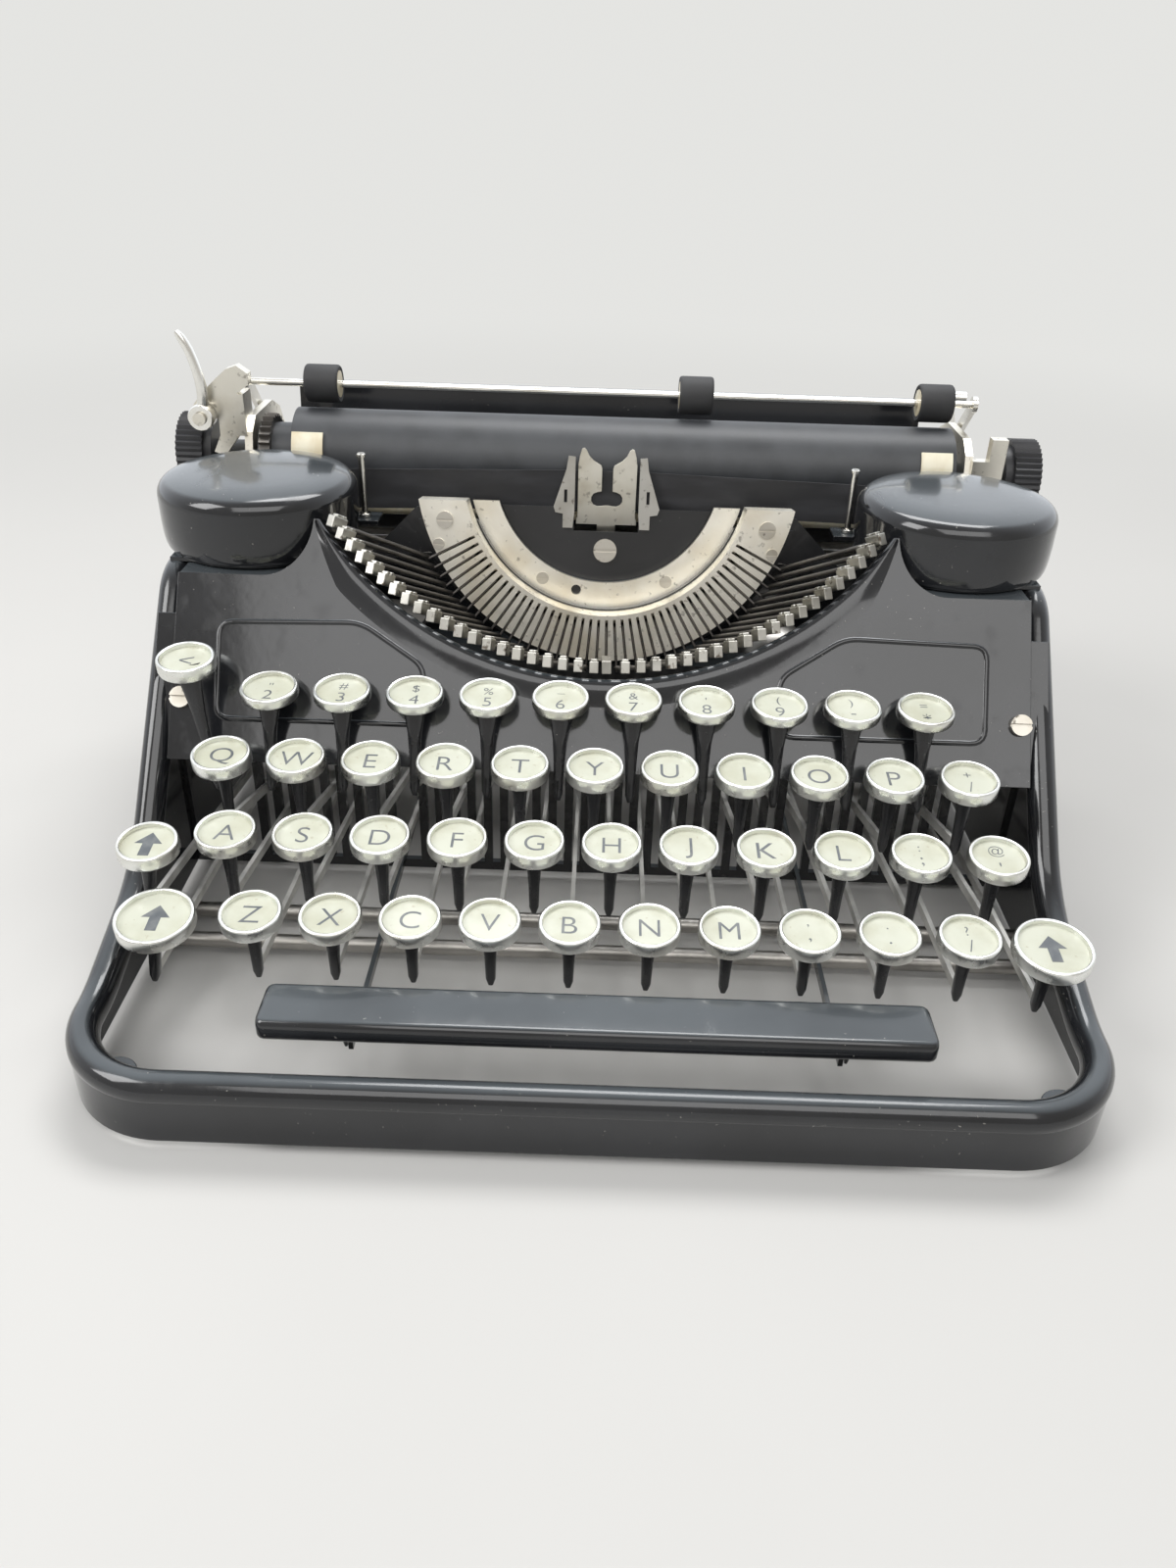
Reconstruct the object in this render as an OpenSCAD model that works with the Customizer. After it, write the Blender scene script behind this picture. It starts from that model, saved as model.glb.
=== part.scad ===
// Portable typewriter: four rows of round keys in an open-front frame, an upright
// type segment behind a cut-out cover, two ribbon cups and a sliding carriage.
// Millimetres. X runs right, Y runs back, Z runs up from the table.

/* [Frame] */
// width over the side walls
frame_w = 258; // [250:1:270]
// front rail to rear wall
frame_d = 270; // [262:1:280]
// top of the front rail above the table
rail_h = 21; // [18:0.5:24]
// top of the shoulders under the ribbon cups
shoulder_h = 97; // [94:0.5:99]
// top of the rear walls that the carriage passes over
rear_h = 80; // [78:0.5:82]
// thickness of the frame walls
wall = 2.5; // [2:0.1:4]
// radius of the rolled bead along the top edge
bead_r = 4; // [3:0.1:4.5]
// plan radius of the two front corners
corner_r = 28; // [18:1:34]
// lower edge of the frame above the table
frame_lift = 3; // [2:0.5:5]
// height of the rubber feet
foot_h = 8; // [6:0.5:10]
// diameter of the rubber feet
foot_d = 9; // [8:0.5:10]

/* [Cover] */
// lower key row to the lower edge of the cover
cover_back = 50; // [48:0.5:51]
// lower edge of the cover above the table
cover_foot = 53.5; // [53:0.5:56]
// slope of the cover
cover_tilt = 54.6; // [53:0.1:57]
// sheet thickness of the cover
cover_t = 1.6; // [1.2:0.1:2.2]
// radius of the round cut-out over the type basket
basket_r = 99; // [97:0.5:101]
// lowest point of the cut-out, measured up the slope
basket_low = 26.4; // [25:0.1:28]
// peaks beside the cut-out, measured up the slope
peak_s = 70; // [66:0.5:72]
// half of the bright rim round the cut-out
rim_r = 1.6; // [1.4:0.1:2]

/* [Ribbon] */
// distance of a cup axis from the middle
cup_x = 104; // [103:0.5:106]
// lower key row to the cup axis
cup_back = 111; // [110:0.5:112]
// outer diameter of a cup lid
lid_d = 58; // [56:0.5:58.5]
// height of a cup lid with its dome
lid_h = 20.4; // [19:0.2:23]
// diameter of a ribbon spool flange
spool_d = 46; // [40:1:48]
// diameter of the wound ribbon
wound_d = 32; // [24:1:36]
// width of the ribbon
ribbon_w = 12.7; // [10:0.1:13]
// thickness of the ribbon
ribbon_t = 0.25; // [0.2:0.05:0.3]
// diameter of the spool spindle
spindle_d = 6; // [4:0.5:8]

/* [Type basket] */
// slope of the type segment
seg_tilt = 78; // [77:0.5:79]
// outer radius of the segment
seg_r = 59; // [57.5:0.5:60]
// radius of the pivot wire
pivot_r = 50; // [49:0.5:51]
// thickness of the pivot wire
wire_d = 1.2; // [1:0.1:1.4]
// thickness of a typebar
bar_t = 0.7; // [0.6:0.05:0.8]
// number of typebars
bars = 42; // [42:1:42]
// angle between two typebars at the segment
bar_step = 3.07; // [2.9:0.01:3.15]
// angle between two type slugs along the rest
slug_step = 2.62; // [2.5:0.01:2.65]
// length of a type slug
slug_l = 7; // [6:0.5:8]
// lift of the ribbon vibrator
vibrator_lift = 8; // [6:0.5:9]

/* [Keyboard] */
// side wall to the outermost key lever, room for the shift levers
lever_room = 21.2; // [20.5:0.1:24]
// outer diameter of a key top
key_d = 15.75; // [14:0.05:16]
// height of a key top ring
key_h = 4.1; // [4:0.1:4.8]
// forward lean of a key top
key_tilt = 7.5; // [0:0.5:10]
// middle of the keyboard, right of the frame's middle
key_shift = 1.5; // [0:0.1:2]
// diameter of a shift key top
shift_d = 19.7; // [18:0.1:20]
// depth of the works behind the lower key row
works_d = 195; // [192:1:196]
// share of the spare depth that lies in front of the lower key row
front_share = 0.56; // [0.52:0.01:0.58]
// lower row key height
lower_z = 40; // [39:0.5:41]
// rise from one row to the next
row_rise = 11.8; // [11.5:0.1:12]
// depth from one row to the next
row_back = 18.8; // [18.6:0.1:19]
// thickness of a key lever
lever_t = 1.2; // [1:0.1:1.6]
// height of a key lever
lever_h = 2.6; // [2.2:0.1:3.2]
// diameter of the fulcrum rod
fulcrum_d = 5; // [4:0.1:6]
// lower key row to the fulcrum rod
fulcrum_back = 138; // [137:0.5:139]
// fulcrum rod above the table
fulcrum_z = 12; // [11:0.5:13]
// length of the space bar
space_l = 160; // [140:1:165]
// depth of the space bar
space_d = 15; // [12:0.5:16]
// thickness of the space bar
space_t = 6; // [4.5:0.1:6.5]

/* [Carriage] */
// lower key row to the platen axis
platen_back = 157; // [156.5:0.5:158]
// platen axis above the table
platen_z = 110; // [109.5:0.5:111]
// radius of the platen rubber
platen_r = 15; // [14.5:0.1:15.2]
// room beside the platen rubber for the ratchet wheel
ratchet_room = 13; // [11:0.5:16]
// diameter of the platen shaft
shaft_d = 8; // [6:0.5:9]
// total width over the platen knobs
knob_span = 280; // [274:1:290]
// diameter of a platen knob
knob_d = 25; // [22:0.5:25.5]
// length of a platen knob
knob_l = 11; // [9:0.5:11.5]
// gap between a knob and its end plate
knob_gap = 11.5; // [10.5:0.5:13]
// thickness of an end plate
plate_t = 2.5; // [2:0.1:3]
// diameter of a carriage rail rod
rail_d = 6; // [5:0.5:7]
// diameter of the paper bail rod
bail_d = 2.3; // [2:0.1:3]
// diameter of a bail roller
roller_d = 12; // [11:0.5:13]
// width of a bail roller
roller_w = 11; // [9:0.5:13]
// radius of the feed roller
feed_r = 5; // [4:0.1:5.2]
// radial play of every turning or sliding fit
play = 0.05; // [0.03:0.01:0.08]

/* [Hidden] */
fx = frame_w / 2;
fy = frame_d / 2;
bulge = 0.3;
in_x = fx - bulge - wall;
front = -fy;
rear = fy - bulge - wall;
shelf_z = 18;
lower_y = front + front_share * (frame_d - works_d);

// cover frame: origin at the middle of the lower edge, second axis up the slope
cover_y = lower_y + cover_back;
shoulder_s = (shoulder_h - cover_foot) / sin(cover_tilt);
cover_half = fx - 2 * bead_r;
peak_x = cover_half - 9;
arc_s = basket_low + basket_r;
slug_r = basket_r - 2.8;
slug_up = 1.2;
rim_out = 1.2;

// ribbon cups
cup_y = lower_y + cup_back;
cup_z = shoulder_h + 0.5;
lid_r = lid_d / 2;
lid_t = 1.2;
cup_r = lid_r - lid_t - 0.3;
cup_top = cup_z + lid_h - 4;
spool_z = cup_z + 1.3;
flange_t = 0.6;
ribbon_z = spool_z + flange_t + 0.3;
post_x = 77.3;
post_y = cup_y + 22;
post_r = 1;

// platen and print point
py = lower_y + platen_back;
pz = platen_z;
print_y = py - platen_r - 2.55;
seg_y = print_y - 16 * sin(seg_tilt);
seg_z = pz + 3.7 + 16 * cos(seg_tilt);
band_in = 36;
band_out = 44.5;
seg_cut = 10;
// places in a typebar's own plane: out from the middle, and out of the segment's face
root = [pivot_r, -5];
elbow = [seg_r + 3, -2.5];
strike = 0;
strike_th = (strike + 0.5) * bar_step;
bar_l = sqrt(pivot_r * pivot_r + 8.5 * 8.5);
ribbon_y = py - platen_r - 1.7;
vib_y = print_y + 0.1;
vib_z = ribbon_z + 1.6;

// keyboard rows: y, z of the key top and y, z of the lever end under it
quarter = (in_x - lever_room) * 2 / bars;
key_pitch = 4 * quarter;
row_y = [lower_y, lower_y + row_back, lower_y + 2 * row_back, lower_y + 3 * row_back - 2.1];
row_z = [lower_z, lower_z + row_rise, lower_z + 2 * row_rise, lower_z + 3 * row_rise];
end_y = [row_y[0], row_y[1], row_y[2], cover_y - 3.5];
end_z = [row_z[0] - 18, row_z[1] - 20.5, row_z[2] - 21.5, cover_foot - 3.5];
fulcrum = [lower_y + fulcrum_back, fulcrum_z];
fulcrum_r = fulcrum_d / 2;
stem_t = 2.4;
space_gap = lower_y - front - 2 * bead_r - stem_t / 2 - space_d;
space_y = front + 2 * bead_r + 0.225 * space_gap;
space_z = rail_h + 3.5;
comb_y = fulcrum[0] - 64;

// carriage
kx = knob_span / 2;
plate_x = kx - knob_l - knob_gap;
platen_end = 3.5;
platen_l = 2 * (plate_x - plate_t) - platen_end - ratchet_room;
rail_r = rail_d / 2;
rail_y = [py + 22, py + 37];
rail_z = rear_h - 8;
truck_top = rear_h + 7;
frame_z = truck_top + 0.3;
lift_y = py + 29.5;
rack_y = py + 44.5;
rack_z = truck_top - 6;
boss_y = rack_y + 7.4;
pinion_r = 5.6;
pinion_z = rack_z - 0.4 - pinion_r;
bail_y = py + 6;
bail_z = pz + platen_r + roller_d / 2 + 0.7;
bail_pin = [py + 20, pz + 8];
release_pin = [py + 28, pz + 2];
feed_y = py + 3;
feed_z = pz - sqrt(pow(platen_r + feed_r + 0.4, 2) - 9);
finger_rod = [py - 12, pz - 14];
lever_pin = [-plate_x - 11.7, pz + 14.5];
lever_y = py - 13;

black = [0.05, 0.05, 0.06];
nickel = [0.75, 0.73, 0.66];
steel = [0.6, 0.6, 0.6];
cream = [0.93, 0.9, 0.78];
rubber = [0.12, 0.12, 0.13];

$fn = 64;

// Shared shapes

// a flat profile in the side view, swept across from x0 to x1
module side_plate(x0, x1) {
    translate([x0, 0, 0]) rotate([90, 0, 90]) linear_extrude(x1 - x0) children();
}

// a flat bar between two points of a drawing plane
module bar2d(p, q, w) {
    d = (q - p) / norm(q - p);
    n = [-d[1], d[0]] * w / 2;
    polygon([p + n, q + n, q - n, p - n]);
}

// a round rod between two points
module strut(p, q, d, sides = 32) {
    v = q - p;
    translate(p) rotate([0, acos(v[2] / norm(v)), atan2(v[1], v[0])])
        cylinder(d = d, h = norm(v), $fn = sides);
}

// a rod across the frame
module cross_rod(y, z, r, half) {
    translate([-half, y, z]) rotate([0, 90, 0]) cylinder(r = r, h = 2 * half);
}

// the sloped frame of the cover and of the segment
module on_cover() {
    translate([0, cover_y, cover_foot]) rotate([cover_tilt, 0, 0]) children();
}

module on_segment() {
    translate([0, seg_y, seg_z]) rotate([seg_tilt, 0, 0]) children();
}

function seg_point(r, th, up) = [r * sin(th),
    seg_y - r * cos(th) * cos(seg_tilt) - up * sin(seg_tilt),
    seg_z - r * cos(th) * sin(seg_tilt) + up * cos(seg_tilt)];

function cover_point(r, ph, up) = [r * sin(ph),
    cover_y + (arc_s - r * cos(ph)) * cos(cover_tilt) - up * sin(cover_tilt),
    cover_foot + (arc_s - r * cos(ph)) * sin(cover_tilt) + up * cos(cover_tilt)];

// a screw with a slotted head, head upward
module screw(d, h, shank_d, shank_l) {
    difference() {
        union() {
            cylinder(d = d, h = h);
            translate([0, 0, -shank_l]) cylinder(d = shank_d, h = shank_l + 0.1);
        }
        translate([-d, -d * 0.07, h * 0.45]) cube([2 * d, d * 0.14, h]);
    }
}

// Frame

// middle line of the bead up a side: y, z of the joints between bends and straights
low_slope = 16;
side_slope = 48;
low_bend = 40;
mid_bend = 50;
top_bend = 14;
side_x = fx - bead_r;
p0 = [front + corner_r, rail_h - bead_r];
p5z = shoulder_h - bead_r;
crest_y = cover_y + shoulder_s * cos(cover_tilt) + 14.7;
bends_y = low_bend * sin(low_slope) + mid_bend * (sin(side_slope) - sin(low_slope)) + top_bend * sin(side_slope);
bends_z = low_bend * (1 - cos(low_slope)) + mid_bend * (cos(low_slope) - cos(side_slope))
    + top_bend * (1 - cos(side_slope));
low_run = (crest_y - p0[0] - bends_y - (p5z - p0[1] - bends_z) / tan(side_slope))
    / (cos(low_slope) - sin(low_slope) / tan(side_slope));
p1 = p0 + low_bend * [sin(low_slope), 1 - cos(low_slope)];
p2 = p1 + low_run * [cos(low_slope), sin(low_slope)];
p3 = p2 + mid_bend * [sin(side_slope) - sin(low_slope), cos(low_slope) - cos(side_slope)];
climb = (p5z - top_bend * (1 - cos(side_slope)) - p3[1]) / sin(side_slope);
p4 = p3 + climb * [cos(side_slope), sin(side_slope)];
p6 = [cup_y + 27, p5z];
c1 = p0 + [0, low_bend];
c2 = p2 + mid_bend * [-sin(low_slope), cos(low_slope)];
c3 = p4 + top_bend * [sin(side_slope), -cos(side_slope)];

function arc(c, r, a0, a1) = [for (i = [0 : 6]) c + r * [cos(a0 + (a1 - a0) * i / 6), sin(a0 + (a1 - a0) * i / 6)]];

// bead path from the left shoulder down, along the rail and up to the right shoulder
left_side = [for (p = concat([p6], arc(c3, top_bend, 90, 90 + side_slope),
    arc(c2, mid_bend, side_slope - 90, low_slope - 90), arc(c1, low_bend, low_slope - 90, -90))) [-side_x, p[0], p[1]]];
left_corner = [for (a = [15 : 15 : 90]) [corner_r - fx - (corner_r - bead_r) * cos(a),
    front + corner_r - (corner_r - bead_r) * sin(a), p0[1]]];
left_run = concat(left_side, left_corner);
bead_path = concat(left_run, [for (i = [len(left_run) - 1 : -1 : 0]) [-left_run[i][0], left_run[i][1], left_run[i][2]]]);

// a round bar along a path of points
module sweep(path, r, sides) {
    n = len(path);
    rings = [for (i = [0 : n - 1])
        let (t = path[min(i + 1, n - 1)] - path[max(i - 1, 0)],
            u = t / norm(t),
            e = cross(u, [0, 0, 1]),
            h = e / norm(e),
            v = cross(h, u))
        for (k = [0 : sides - 1]) path[i] + r * (cos(360 * k / sides) * h + sin(360 * k / sides) * v)];
    polyhedron(rings, concat(
        [[for (k = [sides - 1 : -1 : 0]) k]],
        [for (i = [0 : n - 2], k = [0 : sides - 1])
            [i * sides + k, i * sides + (k + 1) % sides, (i + 1) * sides + (k + 1) % sides, (i + 1) * sides + k]],
        [[for (k = [0 : sides - 1]) (n - 1) * sides + k]]));
}

function corner(x, y, r, a0) = [for (i = [0 : 9]) [x + r * cos(a0 + 10 * i), y + r * sin(a0 + 10 * i)]];

module plan(inset) {
    r = corner_r - inset;
    q = 12 - inset;
    polygon(concat(corner(corner_r - fx, front + corner_r, r, 180), corner(fx - corner_r, front + corner_r, r, 270),
        corner(fx - 12, fy - 12, q, 0), corner(12 - fx, fy - 12, q, 90)));
}

module foot_places() {
    for (x = [-1, 1]) {
        translate([x * (fx - 13.7), front + 13.7, 0]) children();
        translate([x * (fx - 8.9), fy - 8.9, 0]) children();
    }
}

module base_frame() {
    color(black) difference() {
        union() {
            intersection() {
                difference() {
                    translate([0, 0, frame_lift]) linear_extrude(shoulder_h) plan(bulge);
                    linear_extrude(2 * shoulder_h) plan(bulge + wall);
                }
                side_plate(-fx - 1, fx + 1)
                    polygon(concat([[front - 1, 0], [front - 1, p0[1]]], arc(c1, low_bend, -90, low_slope - 90),
                        arc(c2, mid_bend, low_slope - 90, side_slope - 90), arc(c3, top_bend, 90 + side_slope, 90),
                        [p6, [p6[0] + 2, rear_h], [fy + 1, rear_h], [fy + 1, 0]]));
            }
            // rolled bead along the rail, round the corners and up the sides
            sweep(bead_path, bead_r, 12);
            for (s = [0, 1]) mirror([s, 0, 0]) {
                // deck under the ribbon cup with a tab for the guide post
                translate([-in_x - 0.5, cover_y + 41, shoulder_h - 1]) cube([in_x - 81.5, cup_y - cover_y - 13, 1.5]);
                translate([-post_x - 15, post_y - 4.5, shoulder_h - 1]) cube([20, 9, 1.5]);
                // ledge that carries the cover
                intersection() {
                    on_cover() translate([-in_x - 0.5, 4, -cover_t - 10]) cube([10.5, shoulder_s - 10, 10]);
                    translate([-fx, front, 0]) cube([fx, frame_d, shoulder_h]);
                }
            }
            // shelf at the rear with the drum pin and the wheel boss
            intersection() {
                translate([-in_x - 0.5, py + 11, shelf_z - 3]) cube([2 * in_x + 1, rear - py - 10.5, 3]);
                linear_extrude(2 * shelf_z) plan(bulge + wall - 0.5);
            }
            translate([-88, rear - 26, shelf_z - 1]) cylinder(d = 6, h = 21);
            translate([0, rear + 0.5, pinion_z]) rotate([90, 0, 0]) cylinder(r = 6, h = rear + 0.5 - boss_y);
            // pads over the feet
            intersection() {
                translate([0, 0, foot_h]) linear_extrude(3) plan(0.5);
                foot_places() cylinder(d = foot_d + 2.6, h = 30);
            }
        }
        translate([0, rear + 0.4, pinion_z]) rotate([90, 0, 0]) cylinder(d = 4 + 2 * play, h = rear + 1 - boss_y);
        // holes of the cover screws
        for (s = [-1, 1]) on_cover() translate([s * (cover_half - 3), 17.5, -cover_t - 6])
            cylinder(d = 3, h = 7);
    }
}

module rubber_feet() {
    color(rubber) foot_places() cylinder(d1 = foot_d - 3, d2 = foot_d, h = foot_h);
}

// Cover

// corners of a closed outline moved inward by w
function moved_in(pts, w) = [for (i = [0 : len(pts) - 1])
    let (n = len(pts),
        d1 = pts[i] - pts[(i + n - 1) % n],
        d2 = pts[(i + 1) % n] - pts[i],
        n1 = [-d1[1], d1[0]] / norm(d1),
        n2 = [-d2[1], d2[0]] / norm(d2))
    pts[i] + (n1 + n2) * w / (1 + n1 * n2)];

module panel_line(pts) {
    difference() {
        polygon(moved_in(pts, -0.55));
        polygon(moved_in(pts, 0.55));
    }
}

module front_cover() {
    panel = [[13 - cover_half, 12], [-50.5, 12], [-50, 28.5], [-68.5, 40.5], [12.5 - cover_half, 39.5]];
    color(black) difference() {
        union() {
            on_cover() {
                translate([0, 0, -cover_t]) linear_extrude(cover_t) difference() {
                    union() {
                        translate([-cover_half, 0]) square([2 * cover_half, shoulder_s]);
                        translate([-peak_x, 0]) square([2 * peak_x, peak_s]);
                    }
                    translate([0, arc_s]) circle(basket_r, $fn = 128);
                    // shoulder corners outside the peaks
                    for (s = [-1, 1]) translate([s * peak_x - 15, shoulder_s]) square([30, 40]);
                }
                for (s = [0, 1]) mirror([s, 0, 0]) linear_extrude(0.5) panel_line(panel);
                // bright rim round the cut-out
                translate([0, arc_s, -cover_t / 2]) rotate([0, 0, -90 - 56.5]) rotate_extrude(angle = 113, $fn = 128)
                    translate([basket_r + rim_out, 0]) circle(rim_r, $fn = 12);
            }
            // level return behind the shoulder
            for (s = [0, 1]) mirror([s, 0, 0])
                translate([0.4 - cover_half, cover_y + shoulder_s * cos(cover_tilt) + 0.3, shoulder_h - 1.75])
                    cube([cover_half - 86.4, 7.7, 1.6]);
        }
        for (s = [-1, 1]) {
            translate([s * cup_x, cup_y, shoulder_h + 0.1]) cylinder(r = lid_r + 0.8, h = 40);
            on_cover() translate([s * (cover_half - 3), 17.5, -cover_t - 1]) cylinder(d = 3, h = 7);
        }
    }
}

module screws() {
    color(nickel) {
        for (s = [-1, 1]) on_cover() translate([s * (cover_half - 3), 17.5, 0]) screw(6, 1.4, 3, cover_t + 6);
        on_segment() {
            for (s = [-1, 1]) {
                translate([s * 50, -16, 0]) screw(5.2, 0.9, 2.4, 6);
                translate([s * 52, -23.5, 0]) screw(3.6, 0.7, 1.8, 5);
                translate([s * 20, -35, -12.5]) screw(4, 0.6, 2, 2);
            }
            translate([0, -26, -16]) screw(7.5, 1, 3, 1.5);
        }
    }
}

// Ribbon

// straight run of the ribbon from a spool past the guide post
ribbon_path = [[cup_x + 1.6, cup_y + wound_d / 2 + 0.5], [post_x + 1, post_y + post_r + 0.45],
    [post_x - 1.5, post_y + post_r + 0.55], [11, ribbon_y]];

module ribbon_slot() {
    translate([0, 0, -1]) linear_extrude(ribbon_w + 2)
        bar2d(ribbon_path[0] - [cup_x, cup_y], ribbon_path[1] - [cup_x, cup_y], 4);
}

module spool_cup() {
    color(black) translate([cup_x, cup_y, 0]) {
        difference() {
            translate([0, 0, cup_z]) cylinder(r = cup_r, h = cup_top - cup_z);
            translate([0, 0, cup_z + 1]) cylinder(r = cup_r - 1.2, h = 40);
            translate([0, 0, ribbon_z]) ribbon_slot();
        }
        translate([0, 0, cup_z + 0.5]) cylinder(d = spindle_d, h = cup_top - cup_z - 1);
    }
}

module left_spool_cup() { mirror([1, 0, 0]) spool_cup(); }

module right_spool_cup() { spool_cup(); }

module cup_lid() {
    dome = cup_z + lid_h + 0.7;
    color(black) translate([cup_x, cup_y, 0]) difference() {
        rotate_extrude($fn = 96) polygon(concat([[lid_r - lid_t, cup_z + 0.8], [lid_r, cup_z + 0.8]],
            [for (a = [0 : 15 : 75]) [lid_r - 4.5 + 4.5 * cos(a), dome - 6 + 4.5 * sin(a)]],
            [[lid_r * 0.5, dome - 0.45], [0, dome], [0, cup_top], [lid_r - lid_t, cup_top]]));
        translate([0, 0, ribbon_z]) ribbon_slot();
    }
}

module left_cup_lid() { mirror([1, 0, 0]) cup_lid(); }

module right_cup_lid() { cup_lid(); }

module spool() {
    color(steel) translate([cup_x, cup_y, spool_z]) difference() {
        union() {
            cylinder(d = spool_d, h = flange_t);
            cylinder(d = wound_d, h = ribbon_w + 2 * flange_t + 0.6);
            translate([0, 0, ribbon_w + flange_t + 0.6]) cylinder(d = spool_d, h = flange_t);
        }
        translate([0, 0, -1]) cylinder(d = spindle_d + 2 * play, h = 30);
    }
}

module left_spool() { mirror([1, 0, 0]) spool(); }

module right_spool() { spool(); }

module ribbon() {
    h = [0, ribbon_t / 2];
    r = ribbon_path;
    l = [for (p = r) [-p[0], p[1]]];
    color(rubber) translate([0, 0, ribbon_z]) linear_extrude(ribbon_w) polygon([r[0] + h, r[1] + h, r[2] + h, r[3] + h,
        l[3] + h, l[2] + h, l[1] + h, l[0] + h, l[0] - h, l[1] - h, l[2] - h, l[3] - h,
        r[3] - h, r[2] - h, r[1] - h, r[0] - h]);
}

module ribbon_guides() {
    color(nickel) for (s = [-1, 1]) translate([s * post_x, post_y, shoulder_h + 0.5]) {
        cylinder(r = post_r, h = 20);
        cylinder(r = 2 * post_r, h = 1.2);
        translate([0, 0, 19]) cylinder(r = 1.4 * post_r, h = 1.2);
    }
}

module ribbon_vibrator() {
    color(nickel) translate([0, vib_y, vib_z]) side_face(0.6) difference() {
        union() {
            translate([-9.8, -6.2]) square([19.6, 25]);
            translate([-3, -22 - vibrator_lift]) square([6, 18 + vibrator_lift]);
        }
        translate([-2.2, 0.5]) square([4.4, 30]);
        for (s = [-1, 1]) translate([s * 3.2, 1.9]) circle(2);
        // valley between the two horns and their sloping outer sides
        polygon([[-6.4, 19], [-2, 13.6], [2, 13.6], [6.4, 19]]);
        for (s = [-1, 1]) polygon([[s * 10, 14], [s * 10, 19], [s * 8.4, 19]]);
    }
}

// a flat profile in the front view with its thickness along y
module side_face(t) {
    translate([0, t / 2, 0]) rotate([90, 0, 0]) linear_extrude(t) children();
}

// two wings beside the vibrator, on the face of the segment plate
module type_guide() {
    color(nickel) on_segment() translate([0, 0, -16]) linear_extrude(1) for (s = [-1, 1]) difference() {
        polygon([[s * 10.3, 3.2], [s * 12.5, 3.4], [s * 13.1, -0.6], [s * 17, -12.4], [s * 16.4, -14.2],
            [s * 14, -14.6], [s * 14, -19], [s * 10.8, -19], [s * 10.3, -14]]);
        translate([s * 13.2 - 0.5, -11]) square([1, 4]);
    }
}

// Type basket

module ring(r0, r1, z0, z1, half) {
    rotate([0, 0, -90 - half]) rotate_extrude(angle = 2 * half, $fn = 128)
        translate([r0, z0]) square([r1 - r0, z1 - z0]);
}

module type_segment() {
    color(nickel) on_segment() difference() {
        ring(band_out, seg_r, -9, 0, 85);
        translate([-100, -seg_cut, -20]) cube([200, 100, 40]);
        for (n = [0 : bars - 1]) rotate([0, 0, -90 + (n - bars / 2 + 0.5) * bar_step])
            translate([band_out + 1.3, -bar_t / 2 - 0.1, -7.4]) cube([seg_r - band_out + 2, bar_t + 0.2, 9]);
        rotate([0, 0, -90 - 68]) rotate_extrude(angle = 136, $fn = 128) translate([pivot_r, -5]) circle(d = wire_d);
        for (s = [-1, 1]) {
            translate([s * 50, -16, -6]) cylinder(d = 2.4, h = 7);
            translate([s * 52, -23.5, -5]) cylinder(d = 1.8, h = 7);
        }
    }
}

module pivot_wire() {
    color(steel) on_segment() rotate([0, 0, -90 - 67]) rotate_extrude(angle = 134, $fn = 128)
        translate([pivot_r, -5]) circle(d = wire_d, $fn = 24);
}

module segment_bracket() {
    low = seg_point(seg_r + 2, 0, -12);
    color(black) difference() {
        union() {
            on_segment() difference() {
                union() {
                    ring(band_out - 0.5, seg_r + 3, -16, -9, 88);
                    ring(band_in, band_out, -16, -14.5, 88);
                }
                translate([-100, -seg_cut - 7, -20]) cube([200, 100, 40]);
                for (s = [-1, 1]) translate([s * 20, -35, -17]) cylinder(d = 2, h = 5);
            }
            translate([-in_x, low[1] - 6, low[2] - 12]) cube([2 * in_x, 12, 13]);
            // arm each side that slopes out from the ring's upper end
            on_segment() for (s = [-1, 1]) translate([0, 0, -13]) linear_extrude(3)
                polygon([[s * 50, -17.5], [s * 57, -12.5], [s * 60.5, -13.5], [s * 78, -31], [s * 76, -35.5],
                    [s * 66, -29], [s * 54, -27]]);
            // foot and upright that guide the vibrator stem
            translate([-6, low[1] + 3, low[2] + 6]) cube([12, vib_y + 1.6 - low[1] - 3, 6.5]);
            translate([-6, vib_y - 4, low[2] + 6]) cube([12, 5.6, vib_z - 17 - low[2] - 6]);
        }
        translate([-3 - play, vib_y - 0.3 - play, vib_z - 60]) cube([6 + 2 * play, 0.6 + 2 * play, 60]);
    }
}

module segment_band() {
    color(nickel) on_segment() difference() {
        ring(band_in, band_out - 0.5, -14.5, -12.5, 80);
        translate([-100, -seg_cut - 1, -20]) cube([200, 100, 40]);
        for (s = [-1, 1]) translate([s * 20, -35, -17]) cylinder(d = 2, h = 5);
        translate([-9, -38.5, -20]) cylinder(d = 3.2, h = 20);
    }
}

module segment_plate() {
    color(black) on_segment() difference() {
        translate([0, 0, -16.7]) linear_extrude(0.7) difference() {
            circle(band_in + 3, $fn = 128);
            translate([-60, -12.5]) square([120, 80]);
            translate([-10.4, -20]) square([20.8, 20]);
        }
        translate([0, -26, -20]) cylinder(d = 3, h = 10);
    }
}

// foot of a typebar lying in its slot, with the bore for the pivot wire
module bar_root() {
    difference() {
        union() {
            translate(root) circle(2.2, $fn = 32);
            bar2d(root, elbow, 3);
            translate(elbow) circle(1.5, $fn = 24);
            children();
        }
        translate(root) circle(d = wire_d + 2 * play, $fn = 24);
    }
}

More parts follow.
